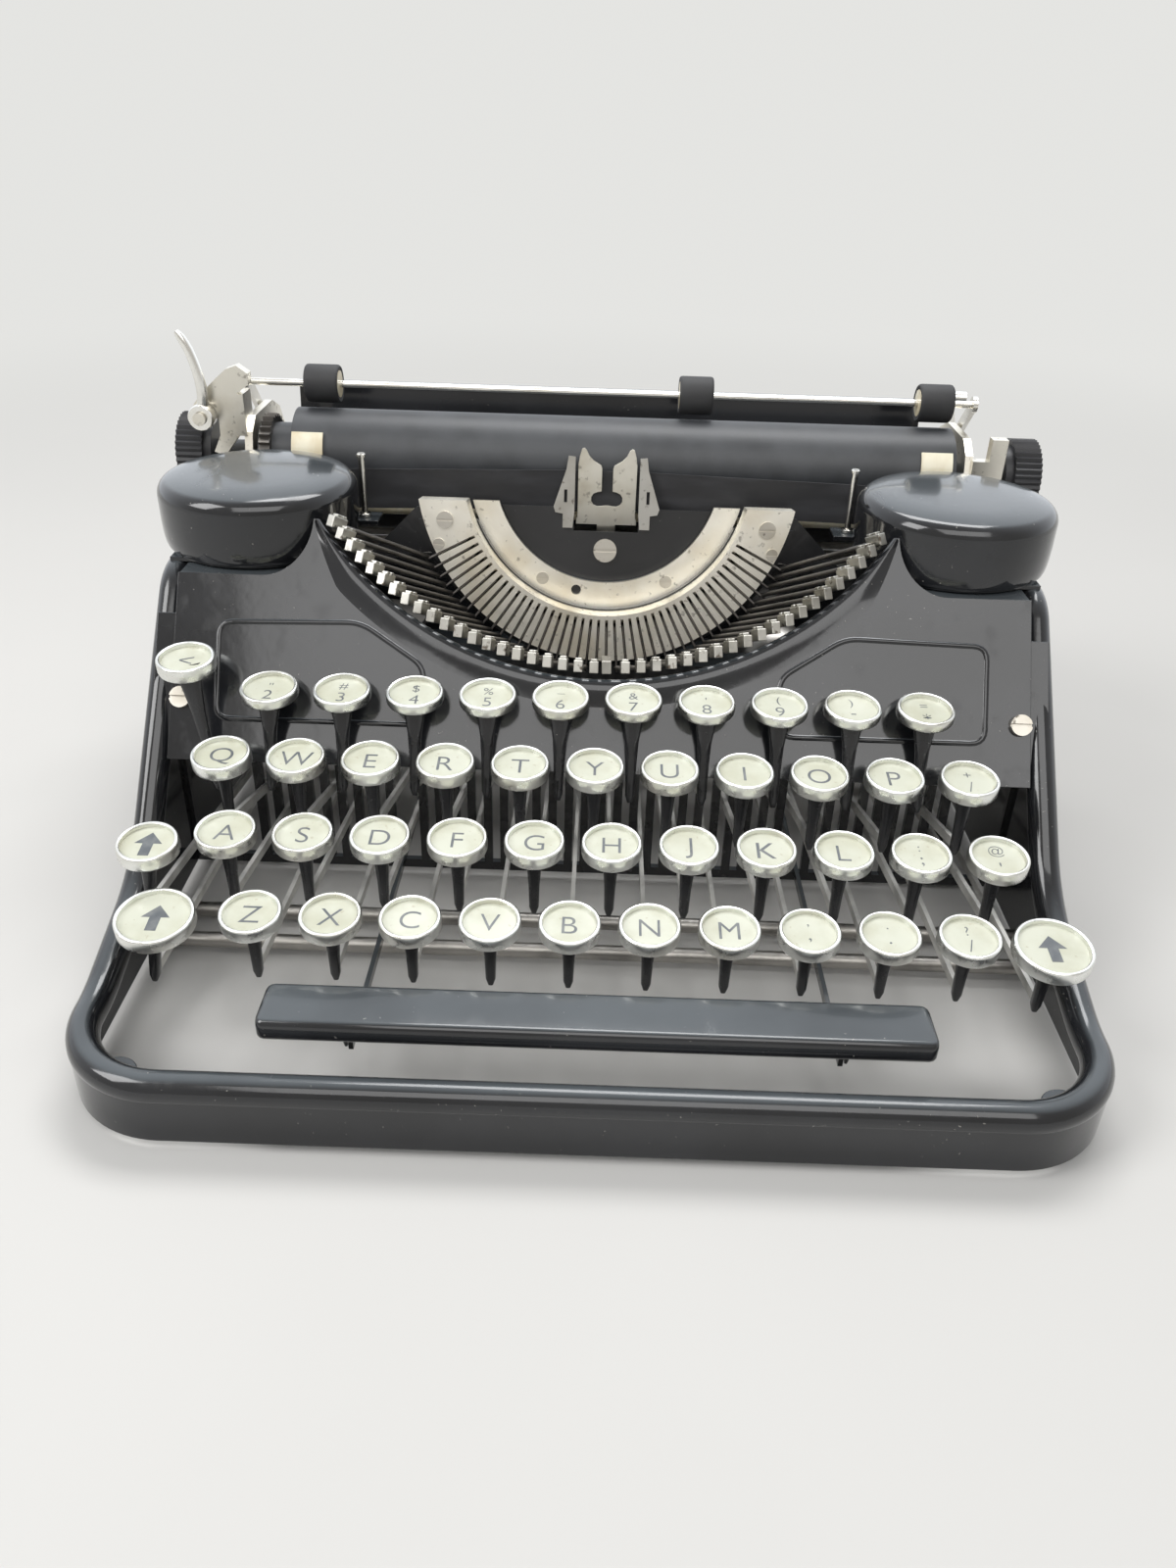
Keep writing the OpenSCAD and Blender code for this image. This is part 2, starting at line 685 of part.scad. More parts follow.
// a type slug along the end of a bar from p to q, with its two type faces towards the middle
module slug(p, q) {
    v = q - p;
    translate(q) rotate([0, acos(v[2] / norm(v)), atan2(v[1], v[0])]) translate([0, 0, 1.5 - slug_l]) {
        translate([-2.4, -1.5, 0]) cube([3.8, 3, slug_l]);
        for (h = [0.2, 0.6]) translate([-3, -1.1, h * slug_l]) cube([0.7, 2.2, 1.8]);
    }
}

module typebars() {
    color(steel) for (n = [-bars / 2 : bars / 2 - 1]) if (n != strike) {
        th = (n + 0.5) * bar_step;
        ph = (n + 0.5) * slug_step;
        on_segment() rotate([0, 0, -90 + th]) rotate([90, 0, 0]) linear_extrude(bar_t, center = true) bar_root();
        turn = seg_point(elbow[0], th, elbow[1]);
        tip = cover_point(slug_r, ph, slug_up);
        strut(turn, tip, 1.6, 6);
        slug(turn, tip);
    }
}

// rest angle of the struck bar from the segment's outward direction
rest_lean = 0;

module striking_typebar() {
    tip = root + bar_l * [sin(rest_lean), cos(rest_lean)];
    color(steel) on_segment() rotate([0, 0, -90 + strike_th]) rotate([90, 0, 0]) {
        linear_extrude(bar_t, center = true) bar_root() bar2d(elbow, tip, 2.4);
        translate(tip) rotate(-rest_lean) translate([-2.4, -slug_l / 2, -1.4]) cube([3.8, slug_l, 2.8]);
    }
}

module type_rest() {
    low = -cover_t / 2 - rim_r - 0.1;
    color(rubber) on_cover() translate([0, arc_s, 0]) {
        ring(basket_r - 0.6, basket_r + 6, low - 2.1, low, 52);
        ring(basket_r + rim_out + rim_r + 0.2, basket_r + 6, low - 0.1, -cover_t, 52);
    }
}

// Keyboard

function lever_x(n) = key_shift + (n + 0.5) * quarter;

module lever_rods() {
    color(steel) {
        cross_rod(fulcrum[0], fulcrum[1], fulcrum_r, in_x);
        for (y = [lower_y + 31, lower_y + 45]) cross_rod(y, 5, 2.2, in_x);
    }
}

module lever_bar(x, q) {
    side_plate(x - lever_t / 2, x + lever_t / 2) difference() {
        union() {
            translate(fulcrum) circle(fulcrum_r + 2.5);
            bar2d(fulcrum, q, lever_h);
        }
        translate(fulcrum) circle(fulcrum_r + play);
    }
}

module key_cap(x, y, z, d, tall = key_h) {
    translate([x, y, z]) rotate([key_tilt, 0, 0]) difference() {
        translate([0, 0, -tall]) cylinder(d = d, h = tall);
        translate([0, 0, -1.6]) cylinder(d = d - 2.2, h = 3);
    }
}

// tapered stem from a key top down to the end of its lever
module key_stem(x, y, z, x1, y1, z1) {
    lean = atan2(y - y1, z - z1);
    side = atan2(x - x1, z - z1);
    h = sqrt(pow(z - z1, 2) + pow(y - y1, 2)) / cos(side);
    translate([x1, y1, z1]) rotate([-lean, 0, 0]) rotate([0, side, 0])
        translate([0, stem_t / 2, 0]) rotate([90, 0, 0]) linear_extrude(stem_t) polygon([[-1.2, -3], [1.2, -3], [1.4, h * 0.45], [4, h - 2.4], [-4, h - 2.4], [-1.4, h * 0.45]]);
}

module row_key(n, row) {
    x = lever_x(n);
    lever_bar(x, [end_y[row], end_z[row]]);
    key_stem(x, row_y[row], row_z[row], x, end_y[row], end_z[row]);
    // the number row stands close to the cover, so its rings are shallower
    key_cap(x, row_y[row], row_z[row], key_d, row == 3 ? key_h - 0.9 : key_h);
}

module home_key(i) { color(nickel) row_key(4 * i - 24, 1); }

module home_key_01() { home_key(1); }

module home_key_02() { home_key(2); }

module home_key_03() { home_key(3); }

module home_key_04() { home_key(4); }

module home_key_05() { home_key(5); }

module home_key_06() { home_key(6); }

module home_key_07() { home_key(7); }

module home_key_08() { home_key(8); }

module home_key_09() { home_key(9); }

module home_key_10() { home_key(10); }

module home_key_11() { home_key(11); }

module number_row_keys() { color(nickel) for (n = [-19 : 4 : 17]) row_key(n, 3); }

module upper_row_keys() { color(nickel) for (n = [-21 : 4 : 19]) row_key(n, 2); }

module lower_row_keys() { color(nickel) for (n = [-18 : 4 : 18]) row_key(n, 0); }

module key_comb() {
    color(steel) difference() {
        translate([-in_x, comb_y - 1, 3]) cube([2 * in_x, 2, 40]);
        for (n = [-bars / 2 : bars / 2 - 1]) translate([lever_x(n) - lever_t / 2 - 0.6, comb_y - 2, 6])
            cube([lever_t + 1.2, 4, 60]);
        for (s = [-1, 1]) translate([key_shift + s * 3 * key_pitch - 3.4, comb_y - 2, 6]) cube([6.8, 4, 60]);
        for (s = [-1, 1]) translate([s < 0 ? -in_x + 1.2 : lever_x(bars / 2) - 1, comb_y - 2, 6])
            cube([in_x - abs(lever_x(s < 0 ? -bars / 2 - 1 : bars / 2)) - 0.2, 4, 60]);
    }
}

module space_bar() {
    color(black) {
        side_plate(key_shift - space_l / 2, key_shift + space_l / 2) union() {
            translate([space_y, space_z + 1.8]) square([space_d, space_t - 3.6]);
            translate([space_y + 1.8, space_z]) square([space_d - 3.6, space_t]);
            for (a = [0, 1], b = [0, 1])
                translate([space_y + 1.8 + a * (space_d - 3.6), space_z + 1.8 + b * (space_t - 3.6)]) circle(1.8);
        }
        for (s = [-1, 1]) {
            x = key_shift + s * 3 * key_pitch;
            // low lever that passes under the key tops, and its upright to the bar
            riser = [space_y + space_d - 4, space_z - 8.7];
            lever_bar(x, riser);
            side_plate(x - lever_t / 2, x + lever_t / 2) translate(riser - [2, lever_h / 2]) square([4, 11]);
            translate([x, space_y + 5, space_z - 5]) cylinder(d1 = 0.8, d2 = 3.4, h = 6);
        }
    }
}

shift_room = 13.7;
shift_x = [for (s = [-1, 1]) s * (in_x - shift_room) + key_shift - 0.5];
shift_y = lower_y - 3;

module shift_keys() {
    color(nickel) {
        for (i = [0, 1]) {
            side = i == 0 ? 2.5 : 0.5;
            lever_bar(shift_x[i], [shift_y, end_z[0]]);
            key_stem(shift_x[i] + side, shift_y, lower_z, shift_x[i], shift_y, end_z[0]);
            key_cap(shift_x[i] + side, shift_y, lower_z, shift_d);
            side_plate(shift_x[i] - lever_t / 2, shift_x[i] + lever_t / 2) difference() {
                bar2d(fulcrum, fulcrum + [12, 2], lever_h);
                translate(fulcrum) circle(fulcrum_r + play);
            }
        }
        translate([shift_x[0], fulcrum[0] + 12, fulcrum[1] + 2]) rotate([0, 90, 0])
            cylinder(d = 4, h = shift_x[1] - shift_x[0]);
    }
}

module shift_lock_key() {
    x = 9.2 - in_x;
    y = row_y[1] - 4.5;
    color(nickel) {
        lever_bar(x, [y, end_z[1] - 1]);
        key_stem(x + 2, y, row_z[1] - 1.6, x, y, end_z[1] - 1);
        key_cap(x + 2, y, row_z[1] - 1.6, key_d);
    }
}

module back_space_key() {
    x = lever_x(-22) - 0.5;
    color(nickel) {
        lever_bar(x, [end_y[3], end_z[3]]);
        key_stem(x - 6.4, row_y[3] + 0.5, row_z[3] + 7.8, x, end_y[3], end_z[3]);
        key_cap(x - 6.4, row_y[3] + 0.5, row_z[3] + 7.8, key_d);
    }
}

// Carriage

module carriage_rails() {
    color(steel) for (y = rail_y) cross_rod(y, rail_z, rail_r, in_x);
}

module carriage_truck() {
    color(steel) difference() {
        union() {
            translate([-26, rail_y[0] - 7, rail_z - 7]) cube([52, rail_y[1] - rail_y[0] + 11, truck_top - rail_z + 5]);
            translate([5.5 - plate_x, rail_y[0] - 2, truck_top - 3]) cube([2 * plate_x - 11, rack_y - rail_y[0] + 5.5, 3]);
        }
        for (y = rail_y) cross_rod(y, rail_z, rail_r + play, 30);
        for (s = [-1, 1]) translate([s * 16, lift_y, 0]) cylinder(d = 6 + 2 * play, h = 2 * truck_top);
    }
}

module carriage_rack() {
    pitch = 2.54;
    teeth = 40;
    color(steel) translate([0, rack_y + 3, 0]) rotate([90, 0, 0]) linear_extrude(3)
        polygon(concat([[-teeth * pitch, truck_top - 3], [-teeth * pitch, rack_z + 1.6]],
            [for (i = [-teeth : teeth - 1], k = [0, 1]) [(i + 0.5 * k + 0.25) * pitch, rack_z + 1.6 * k]],
            [[teeth * pitch, rack_z + 1.6], [teeth * pitch, truck_top - 3]]));
}

module end_plate() {
    difference() {
        polygon([[py - 14.5, pz - 17], [py - 14.5, pz - 6], [py - 9, pz + 9], [py - 3, pz + 13], [py + 18, pz + 13],
            [py + 27, pz + 9], [py + 34, pz - 2], [py + 34, frame_z], [py - 1, frame_z - 2], [py - 4, pz - 18]]);
        translate([py, pz]) circle(shaft_d / 2 + play);
        translate([feed_y, feed_z]) circle(2 + play);
        translate([py + 21, pz - 4]) circle(5);
        translate([py + 11, pz + 4]) circle(2.4);
    }
}

module platen_frame() {
    color(nickel) {
        for (s = [-1, 1]) {
            side_plate(s * (plate_x - plate_t / 2) - plate_t / 2, s * (plate_x - plate_t / 2) + plate_t / 2) end_plate();
            translate([s * plate_x, bail_pin[0], bail_pin[1]]) rotate([0, s * 90, 0])
                translate([0, 0, -1]) cylinder(d = 4, h = 4.6);
            translate([s * 16, lift_y, rail_z - 4]) cylinder(d = 6, h = frame_z - rail_z + 5);
        }
        translate([-plate_x, py + 18, frame_z]) cube([2 * plate_x, 16, 4.5]);
        translate([plate_x, release_pin[0], release_pin[1]]) rotate([0, 90, 0])
            translate([0, 0, -1]) cylinder(d = 4, h = 6);
        // lug, curved bracket, foot and pin of the line space lever
        translate([-plate_x - 2.5, lever_y + 3, pz + 8]) cube([3.5, 9, 13]);
        translate([-plate_x, lever_y + 5, pz]) side_face(4) {
            polygon([[-15.7, 13.2], [-15.1, 17.5], [-12.1, 21], [-7.1, 25.6], [-3.5, 28.6], [-0.1, 29.8],
                [3.3, 27.4], [3.1, 24], [-0.5, 21.6], [-2.1, 17], [-2.1, 13.2]]);
            polygon([[-10.3, 2.6], [-6.7, 1.6], [-2.5, 7], [-2.1, 14], [-7.5, 14], [-7.7, 8]]);
        }
        // stop block at the right end
        translate([plate_x - 0.5, py - 12, pz + 3]) cube([6, 4, 5]);
        translate([plate_x + 4.5, py - 12, pz + 1]) cube([5, 4, 14]);
        translate([lever_pin[0], lever_y + 4, lever_pin[1]]) rotate([90, 0, 0]) cylinder(d = 4, h = 8);
    }
}

module platen() {
    color(rubber) {
        translate([plate_x - plate_t - platen_end, py, pz]) rotate([0, -90, 0]) cylinder(r = platen_r, h = platen_l);
        translate([1 - plate_x + plate_t, py, pz]) rotate([0, 90, 0]) cylinder(r = 10, h = 40);
        cross_rod(py, pz, shaft_d / 2, kx - 2);
    }
}

module platen_knobs() {
    ribs = 40;
    color(rubber) for (s = [-1, 1]) translate([s * kx, py, pz]) rotate([0, -s * 90, 0]) difference() {
        union() {
            linear_extrude(knob_l - 2.5) polygon([for (i = [0 : 2 * ribs - 1])
                (knob_d / 2 - (i % 2) * 0.7) * [cos(i * 180 / ribs), sin(i * 180 / ribs)]]);
            cylinder(d = knob_d - 4, h = knob_l);
        }
        translate([0, 0, 2]) cylinder(d = shaft_d, h = knob_l);
        translate([0, 0, -1]) cylinder(d = shaft_d - 2, h = 2);
    }
}

module ratchet_wheel() {
    teeth = 30;
    color(steel) translate([2 - plate_x + plate_t, py, pz]) rotate([0, 90, 0]) linear_extrude(3.5) difference() {
        polygon([for (i = [0 : 2 * teeth - 1])
            (12.8 - (i % 2) * 1.2) * [cos((i - 0.6 * (i % 2)) * 180 / teeth), sin((i - 0.6 * (i % 2)) * 180 / teeth)]]);
        circle(10);
    }
}

module line_space_lever() {
    p = lever_pin;
    color(nickel) {
        translate([p[0], lever_y + 2.7, p[1]]) rotate([90, 0, 0]) difference() {
            cylinder(d = 8, h = 5.4);
            translate([0, 0, -1]) cylinder(d = 4 + 2 * play, h = 8);
        }
        curve = [[0.6, 3.2], [1, 7], [0.6, 12], [-0.6, 17.5], [-2.3, 22], [-4.5, 25.6]];
        translate([p[0], lever_y, p[1]]) side_face(3.4) for (i = [0 : 4]) {
            bar2d(curve[i], curve[i + 1], 3.6 - 0.2 * i);
            translate(curve[i + 1]) circle(1.75 - 0.1 * i);
        }
    }
}

module paper_table() {
    color(black) side_plate(9 - plate_x, plate_x - 9) polygon([[py + 26, frame_z + 4.5],
        [py + 27.2, frame_z + 4.5], [py + 33.2, pz + 17], [py + 32, pz + 17]]);
}

module paper_fingers() {
    color(cream) {
        cross_rod(finger_rod[0], finger_rod[1], 1.5, plate_x - plate_t);
        for (x = [-plate_x + 16, plate_x - 17.5]) side_plate(x, x + 10) union() {
            intersection() {
                difference() {
                    translate([py, pz]) circle(platen_r + 1);
                    translate([py, pz]) circle(platen_r + 0.4);
                }
                polygon([[py, pz], [py - 30, pz + 26], [py - 30, pz - 34]]);
            }
            bar2d(finger_rod, [py, pz] + (platen_r + 0.8) * [-0.66, -0.75], 1.6);
        }
    }
}

module paper_bail() {
    color(nickel) {
        for (s = [-1, 1]) side_plate(s * (plate_x + 1.6) - 0.75, s * (plate_x + 1.6) + 0.75) difference() {
            union() {
                translate(bail_pin) circle(4);
                bar2d(bail_pin, [bail_y, bail_z], 4);
                translate([bail_y, bail_z]) circle(2.6);
            }
            translate(bail_pin) circle(2 + play);
        }
        cross_rod(bail_y, bail_z, bail_d / 2, plate_x + 1.6);
    }
}

module bail_rollers() {
    color(rubber) for (share = [-0.8, 0.238, 0.902]) translate([share * plate_x - roller_w / 2, bail_y, bail_z]) rotate([0, 90, 0]) difference() {
        cylinder(d = roller_d, h = roller_w);
        translate([0, 0, -1]) cylinder(d = bail_d + 2 * play, h = roller_w + 2);
    }
}

module feed_roller() {
    color(rubber) {
        cross_rod(feed_y, feed_z, 2, plate_x + 0.5);
        for (x = [-75, -25, 25, 75]) translate([x - 14, feed_y, feed_z]) rotate([0, 90, 0]) cylinder(r = feed_r, h = 28);
    }
}

module paper_release_lever() {
    x = plate_x + 2.7;
    color(nickel) {
        side_plate(x, x + 1.4) difference() {
            union() {
                translate(release_pin) circle(4);
                bar2d(release_pin, release_pin + [13, 14], 4.4);
                translate(release_pin + [13, 14]) circle(2.2);
            }
            translate(release_pin) circle(2 + play);
        }
        translate([x - 3, release_pin[0] + 13, release_pin[1] + 14]) rotate([0, 90, 0]) cylinder(d = 4.4, h = 9);
    }
}

// Drive at the rear

module mainspring_drum() {
    color(steel) translate([-88, rear - 26, shelf_z + 0.4]) difference() {
        union() {
            cylinder(r = 18, h = 3);
            cylinder(r = 16.5, h = 15);
            translate([0, 0, 13]) cylinder(r = 18, h = 3);
        }
        translate([0, 0, -1]) cylinder(d = 6 + 2 * play, h = 30);
    }
}

module escapement_wheel() {
    teeth = 20;
    color(steel) translate([0, rack_y, pinion_z]) rotate([-90, 0, 0]) {
        linear_extrude(3) polygon([for (i = [0 : 2 * 14 - 1])
            (pinion_r - (i % 2) * 1.2) * [cos(i * 180 / 14), sin(i * 180 / 14)]]);
        translate([0, 0, 5]) linear_extrude(1.6) polygon([for (i = [0 : 2 * teeth - 1])
            (11 - (i % 2) * 2) * [cos((i - 0.7 * (i % 2)) * 180 / teeth), sin((i - 0.7 * (i % 2)) * 180 / teeth)]]);
        cylinder(d = 4, h = rear - rack_y - 1);
    }
}

module bell() {
    color(nickel) translate([70, rear - 25, shelf_z]) {
        cylinder(d = 5, h = 17);
        difference() {
            translate([0, 0, 2]) intersection() {
                sphere(16);
                translate([-20, -20, 0]) cube([40, 40, 30]);
            }
            translate([0, 0, 0.5]) sphere(14.6);
        }
    }
}

base_frame();
front_cover();
screws();
rubber_feet();
left_spool_cup();
right_spool_cup();
left_cup_lid();
right_cup_lid();
left_spool();
right_spool();
ribbon();
ribbon_guides();
ribbon_vibrator();
type_guide();
type_segment();
pivot_wire();
segment_bracket();
segment_band();
segment_plate();
typebars();
striking_typebar();
type_rest();
lever_rods();
key_comb();
home_key_01();
home_key_02();
home_key_03();
home_key_04();
home_key_05();
home_key_06();
home_key_07();
home_key_08();
home_key_09();
home_key_10();
home_key_11();
number_row_keys();
upper_row_keys();
lower_row_keys();
space_bar();
shift_keys();
shift_lock_key();
back_space_key();
carriage_rails();
carriage_truck();
carriage_rack();
platen_frame();
platen();
platen_knobs();
ratchet_wheel();
line_space_lever();
paper_table();
paper_fingers();
paper_bail();
bail_rollers();
feed_roller();
paper_release_lever();
mainspring_drum();
escapement_wheel();
bell();
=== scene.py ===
"""Looks of a portable typewriter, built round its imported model.

Sizes are in millimetres and are turned into metres when a piece is set down.
X runs right, Y runs back and Z runs up from the table.
"""

import math

import bmesh
import bpy
from mathutils import Matrix, Vector


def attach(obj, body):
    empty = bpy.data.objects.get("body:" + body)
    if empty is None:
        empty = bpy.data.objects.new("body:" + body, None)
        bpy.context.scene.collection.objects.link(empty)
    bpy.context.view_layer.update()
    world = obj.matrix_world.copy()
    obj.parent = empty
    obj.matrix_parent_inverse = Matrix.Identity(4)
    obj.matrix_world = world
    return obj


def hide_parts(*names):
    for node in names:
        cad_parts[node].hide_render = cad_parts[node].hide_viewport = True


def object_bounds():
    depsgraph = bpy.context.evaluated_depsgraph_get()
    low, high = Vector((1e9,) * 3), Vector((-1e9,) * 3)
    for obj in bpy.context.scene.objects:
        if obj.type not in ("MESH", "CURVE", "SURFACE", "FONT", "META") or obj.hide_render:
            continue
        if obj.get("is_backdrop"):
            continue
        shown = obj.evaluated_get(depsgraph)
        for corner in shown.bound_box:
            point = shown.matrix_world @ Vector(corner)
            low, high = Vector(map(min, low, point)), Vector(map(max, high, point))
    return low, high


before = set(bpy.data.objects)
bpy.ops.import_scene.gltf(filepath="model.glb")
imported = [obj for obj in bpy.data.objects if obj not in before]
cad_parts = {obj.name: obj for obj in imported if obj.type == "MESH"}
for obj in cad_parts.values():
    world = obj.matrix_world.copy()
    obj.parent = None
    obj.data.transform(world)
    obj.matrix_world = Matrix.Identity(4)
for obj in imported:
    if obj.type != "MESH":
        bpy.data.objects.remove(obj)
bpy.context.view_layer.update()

# The frame is one stamped steel shell: a low front rail, two sides that sweep up to the
# shoulders and a plain rear wall, with its top edge rolled into a round bead. It is
# dipped in black enamel and baked, and years of handling left fine specks and rub marks.
MM = 0.001
FRONT = -135.0
HALF_W = 129.0
HALF_D = 135.0
REAR_IN = 132.2
WALL_OUT = 0.3
WALL_IN = 2.8
BEAD = 4.0
RAIL_TOP = 21.0
SHOULDER = 97.0
REAR_TOP = 80.0
FRAME_FOOT = 3.0
CORNER = 28.0
REAR_CORNER = 12.0
CUP = Vector((104.0, 18.0))
POST = Vector((77.3, 40.0))


class Wire:
    """A socket in a finish: arithmetic on it adds Math nodes, and make adds any other node."""

    def __init__(self, tree, socket=None):
        self.tree = tree
        self.socket = socket

    def make(self, kind, settings=None, inputs=None, out=0):
        made = self.tree.nodes.new(kind)
        for name, value in (settings or {}).items():
            if name == "stops":
                for i, (place, colour) in enumerate(value):
                    if i >= len(made.color_ramp.elements):
                        made.color_ramp.elements.new(place)
                    made.color_ramp.elements[i].position = place
                    made.color_ramp.elements[i].color = colour
            else:
                setattr(made, name, value)
        for name, value in (inputs or {}).items():
            if isinstance(value, Wire):
                self.tree.links.new(value.socket, made.inputs[name])
            else:
                made.inputs[name].default_value = value
        return Wire(self.tree, made.outputs[out])

    def sum(self, operation, a, b):
        return self.make("ShaderNodeMath", {"operation": operation}, {0: a, 1: b})

    def __add__(self, other):
        return self.sum("ADD", self, other)

    __radd__ = __add__

    def __sub__(self, other):
        return self.sum("SUBTRACT", self, other)

    def __rsub__(self, other):
        return self.sum("SUBTRACT", other, self)

    def __mul__(self, other):
        return self.sum("MULTIPLY", self, other)

    __rmul__ = __mul__

    def between(self, low, high):
        """0 below low, 1 above high and a smooth step between them."""
        return self.make("ShaderNodeMapRange", {"interpolation_type": "SMOOTHSTEP"},
                         {"Value": self, "From Min": low, "From Max": high})

    def noise(self, scale, detail=3.0, stretch=(1, 1, 1)):
        """Cloudy noise over the piece, scale in features per metre."""
        place = self.make("ShaderNodeTexCoord", out=3)
        place = self.make("ShaderNodeMapping", None, {"Vector": place, "Scale": stretch})
        return self.make("ShaderNodeTexNoise", None, {"Vector": place, "Scale": scale, "Detail": detail})

    def mixed(self, share, colour_a, colour_b):
        """colour_a where share is 0, colour_b where it is 1."""
        return self.make("ShaderNodeMix", {"data_type": "RGBA"},
                         {0: share, 6: colour_a, 7: colour_b}, out=2)


class Finish:
    """One material: constants go on the shader's own sockets, varying values through feed."""

    def __init__(self, name, **constants):
        self.material = bpy.data.materials.new(name)
        self.material.use_nodes = True
        self.shader = self.material.node_tree.nodes["Principled BSDF"]
        for socket, value in constants.items():
            self.shader.inputs[socket.replace("_", " ")].default_value = value
        self.wire = Wire(self.material.node_tree)

    def feed(self, socket, wire):
        self.material.node_tree.links.new(wire.socket, self.shader.inputs[socket])

    def bump(self, height, depth, strength=1.0):
        """Fine relief, depth in metres."""
        made = self.wire.make("ShaderNodeBump", None,
                              {"Height": height, "Distance": depth, "Strength": strength})
        self.feed("Normal", made)


def grey(level):
    return (level, level, level, 1.0)


def enamelled(name, colour, specks=0.5, gloss=0.1):
    """Baked enamel with faint orange peel, rub marks, pale specks, and a bluish grey on what faces up that is
    partly settled dust and partly painted sheen.
    """
    made = Finish(name, Coat_Weight=0.3, Coat_Roughness=0.05, IOR=1.47)
    w = made.wire
    cloud = w.noise(28.0, 4.0)
    rub = w.noise(160.0, 5.0, (1.0, 0.25, 1.0)).between(0.56, 0.74)
    dust = w.noise(900.0, 2.0).between(0.71, 0.77) * w.noise(60.0).between(0.45, 0.6) * specks
    base = w.mixed(cloud.between(0.35, 0.65), colour, tuple(1.5 * c + 0.002 for c in colour[:3]) + (1.0,))
    up = w.make("ShaderNodeSeparateXYZ", None, {"Vector": w.make("ShaderNodeNewGeometry", out=1)}, out=2)
    # painted sheen: faces that point up are mixed towards bluish grey, partly for settled dust and partly
    # standing in for the bright sky that level enamel reflects
    dust_and_sheen = up.between(0.8, 1.0) * (0.3 + 0.6 * cloud)
    base = w.mixed(dust_and_sheen, base, (0.105, 0.12, 0.13, 1.0))
    base = w.mixed(dust, base, (0.42, 0.4, 0.36, 1.0))
    made.feed("Base Color", base)
    made.feed("Roughness", gloss + 0.05 * cloud + 0.12 * rub + 0.35 * dust + 0.08 * dust_and_sheen)
    made.bump(w.noise(420.0, 1.0) + 0.6 * dust, 0.00006, 0.25)
    return made.material


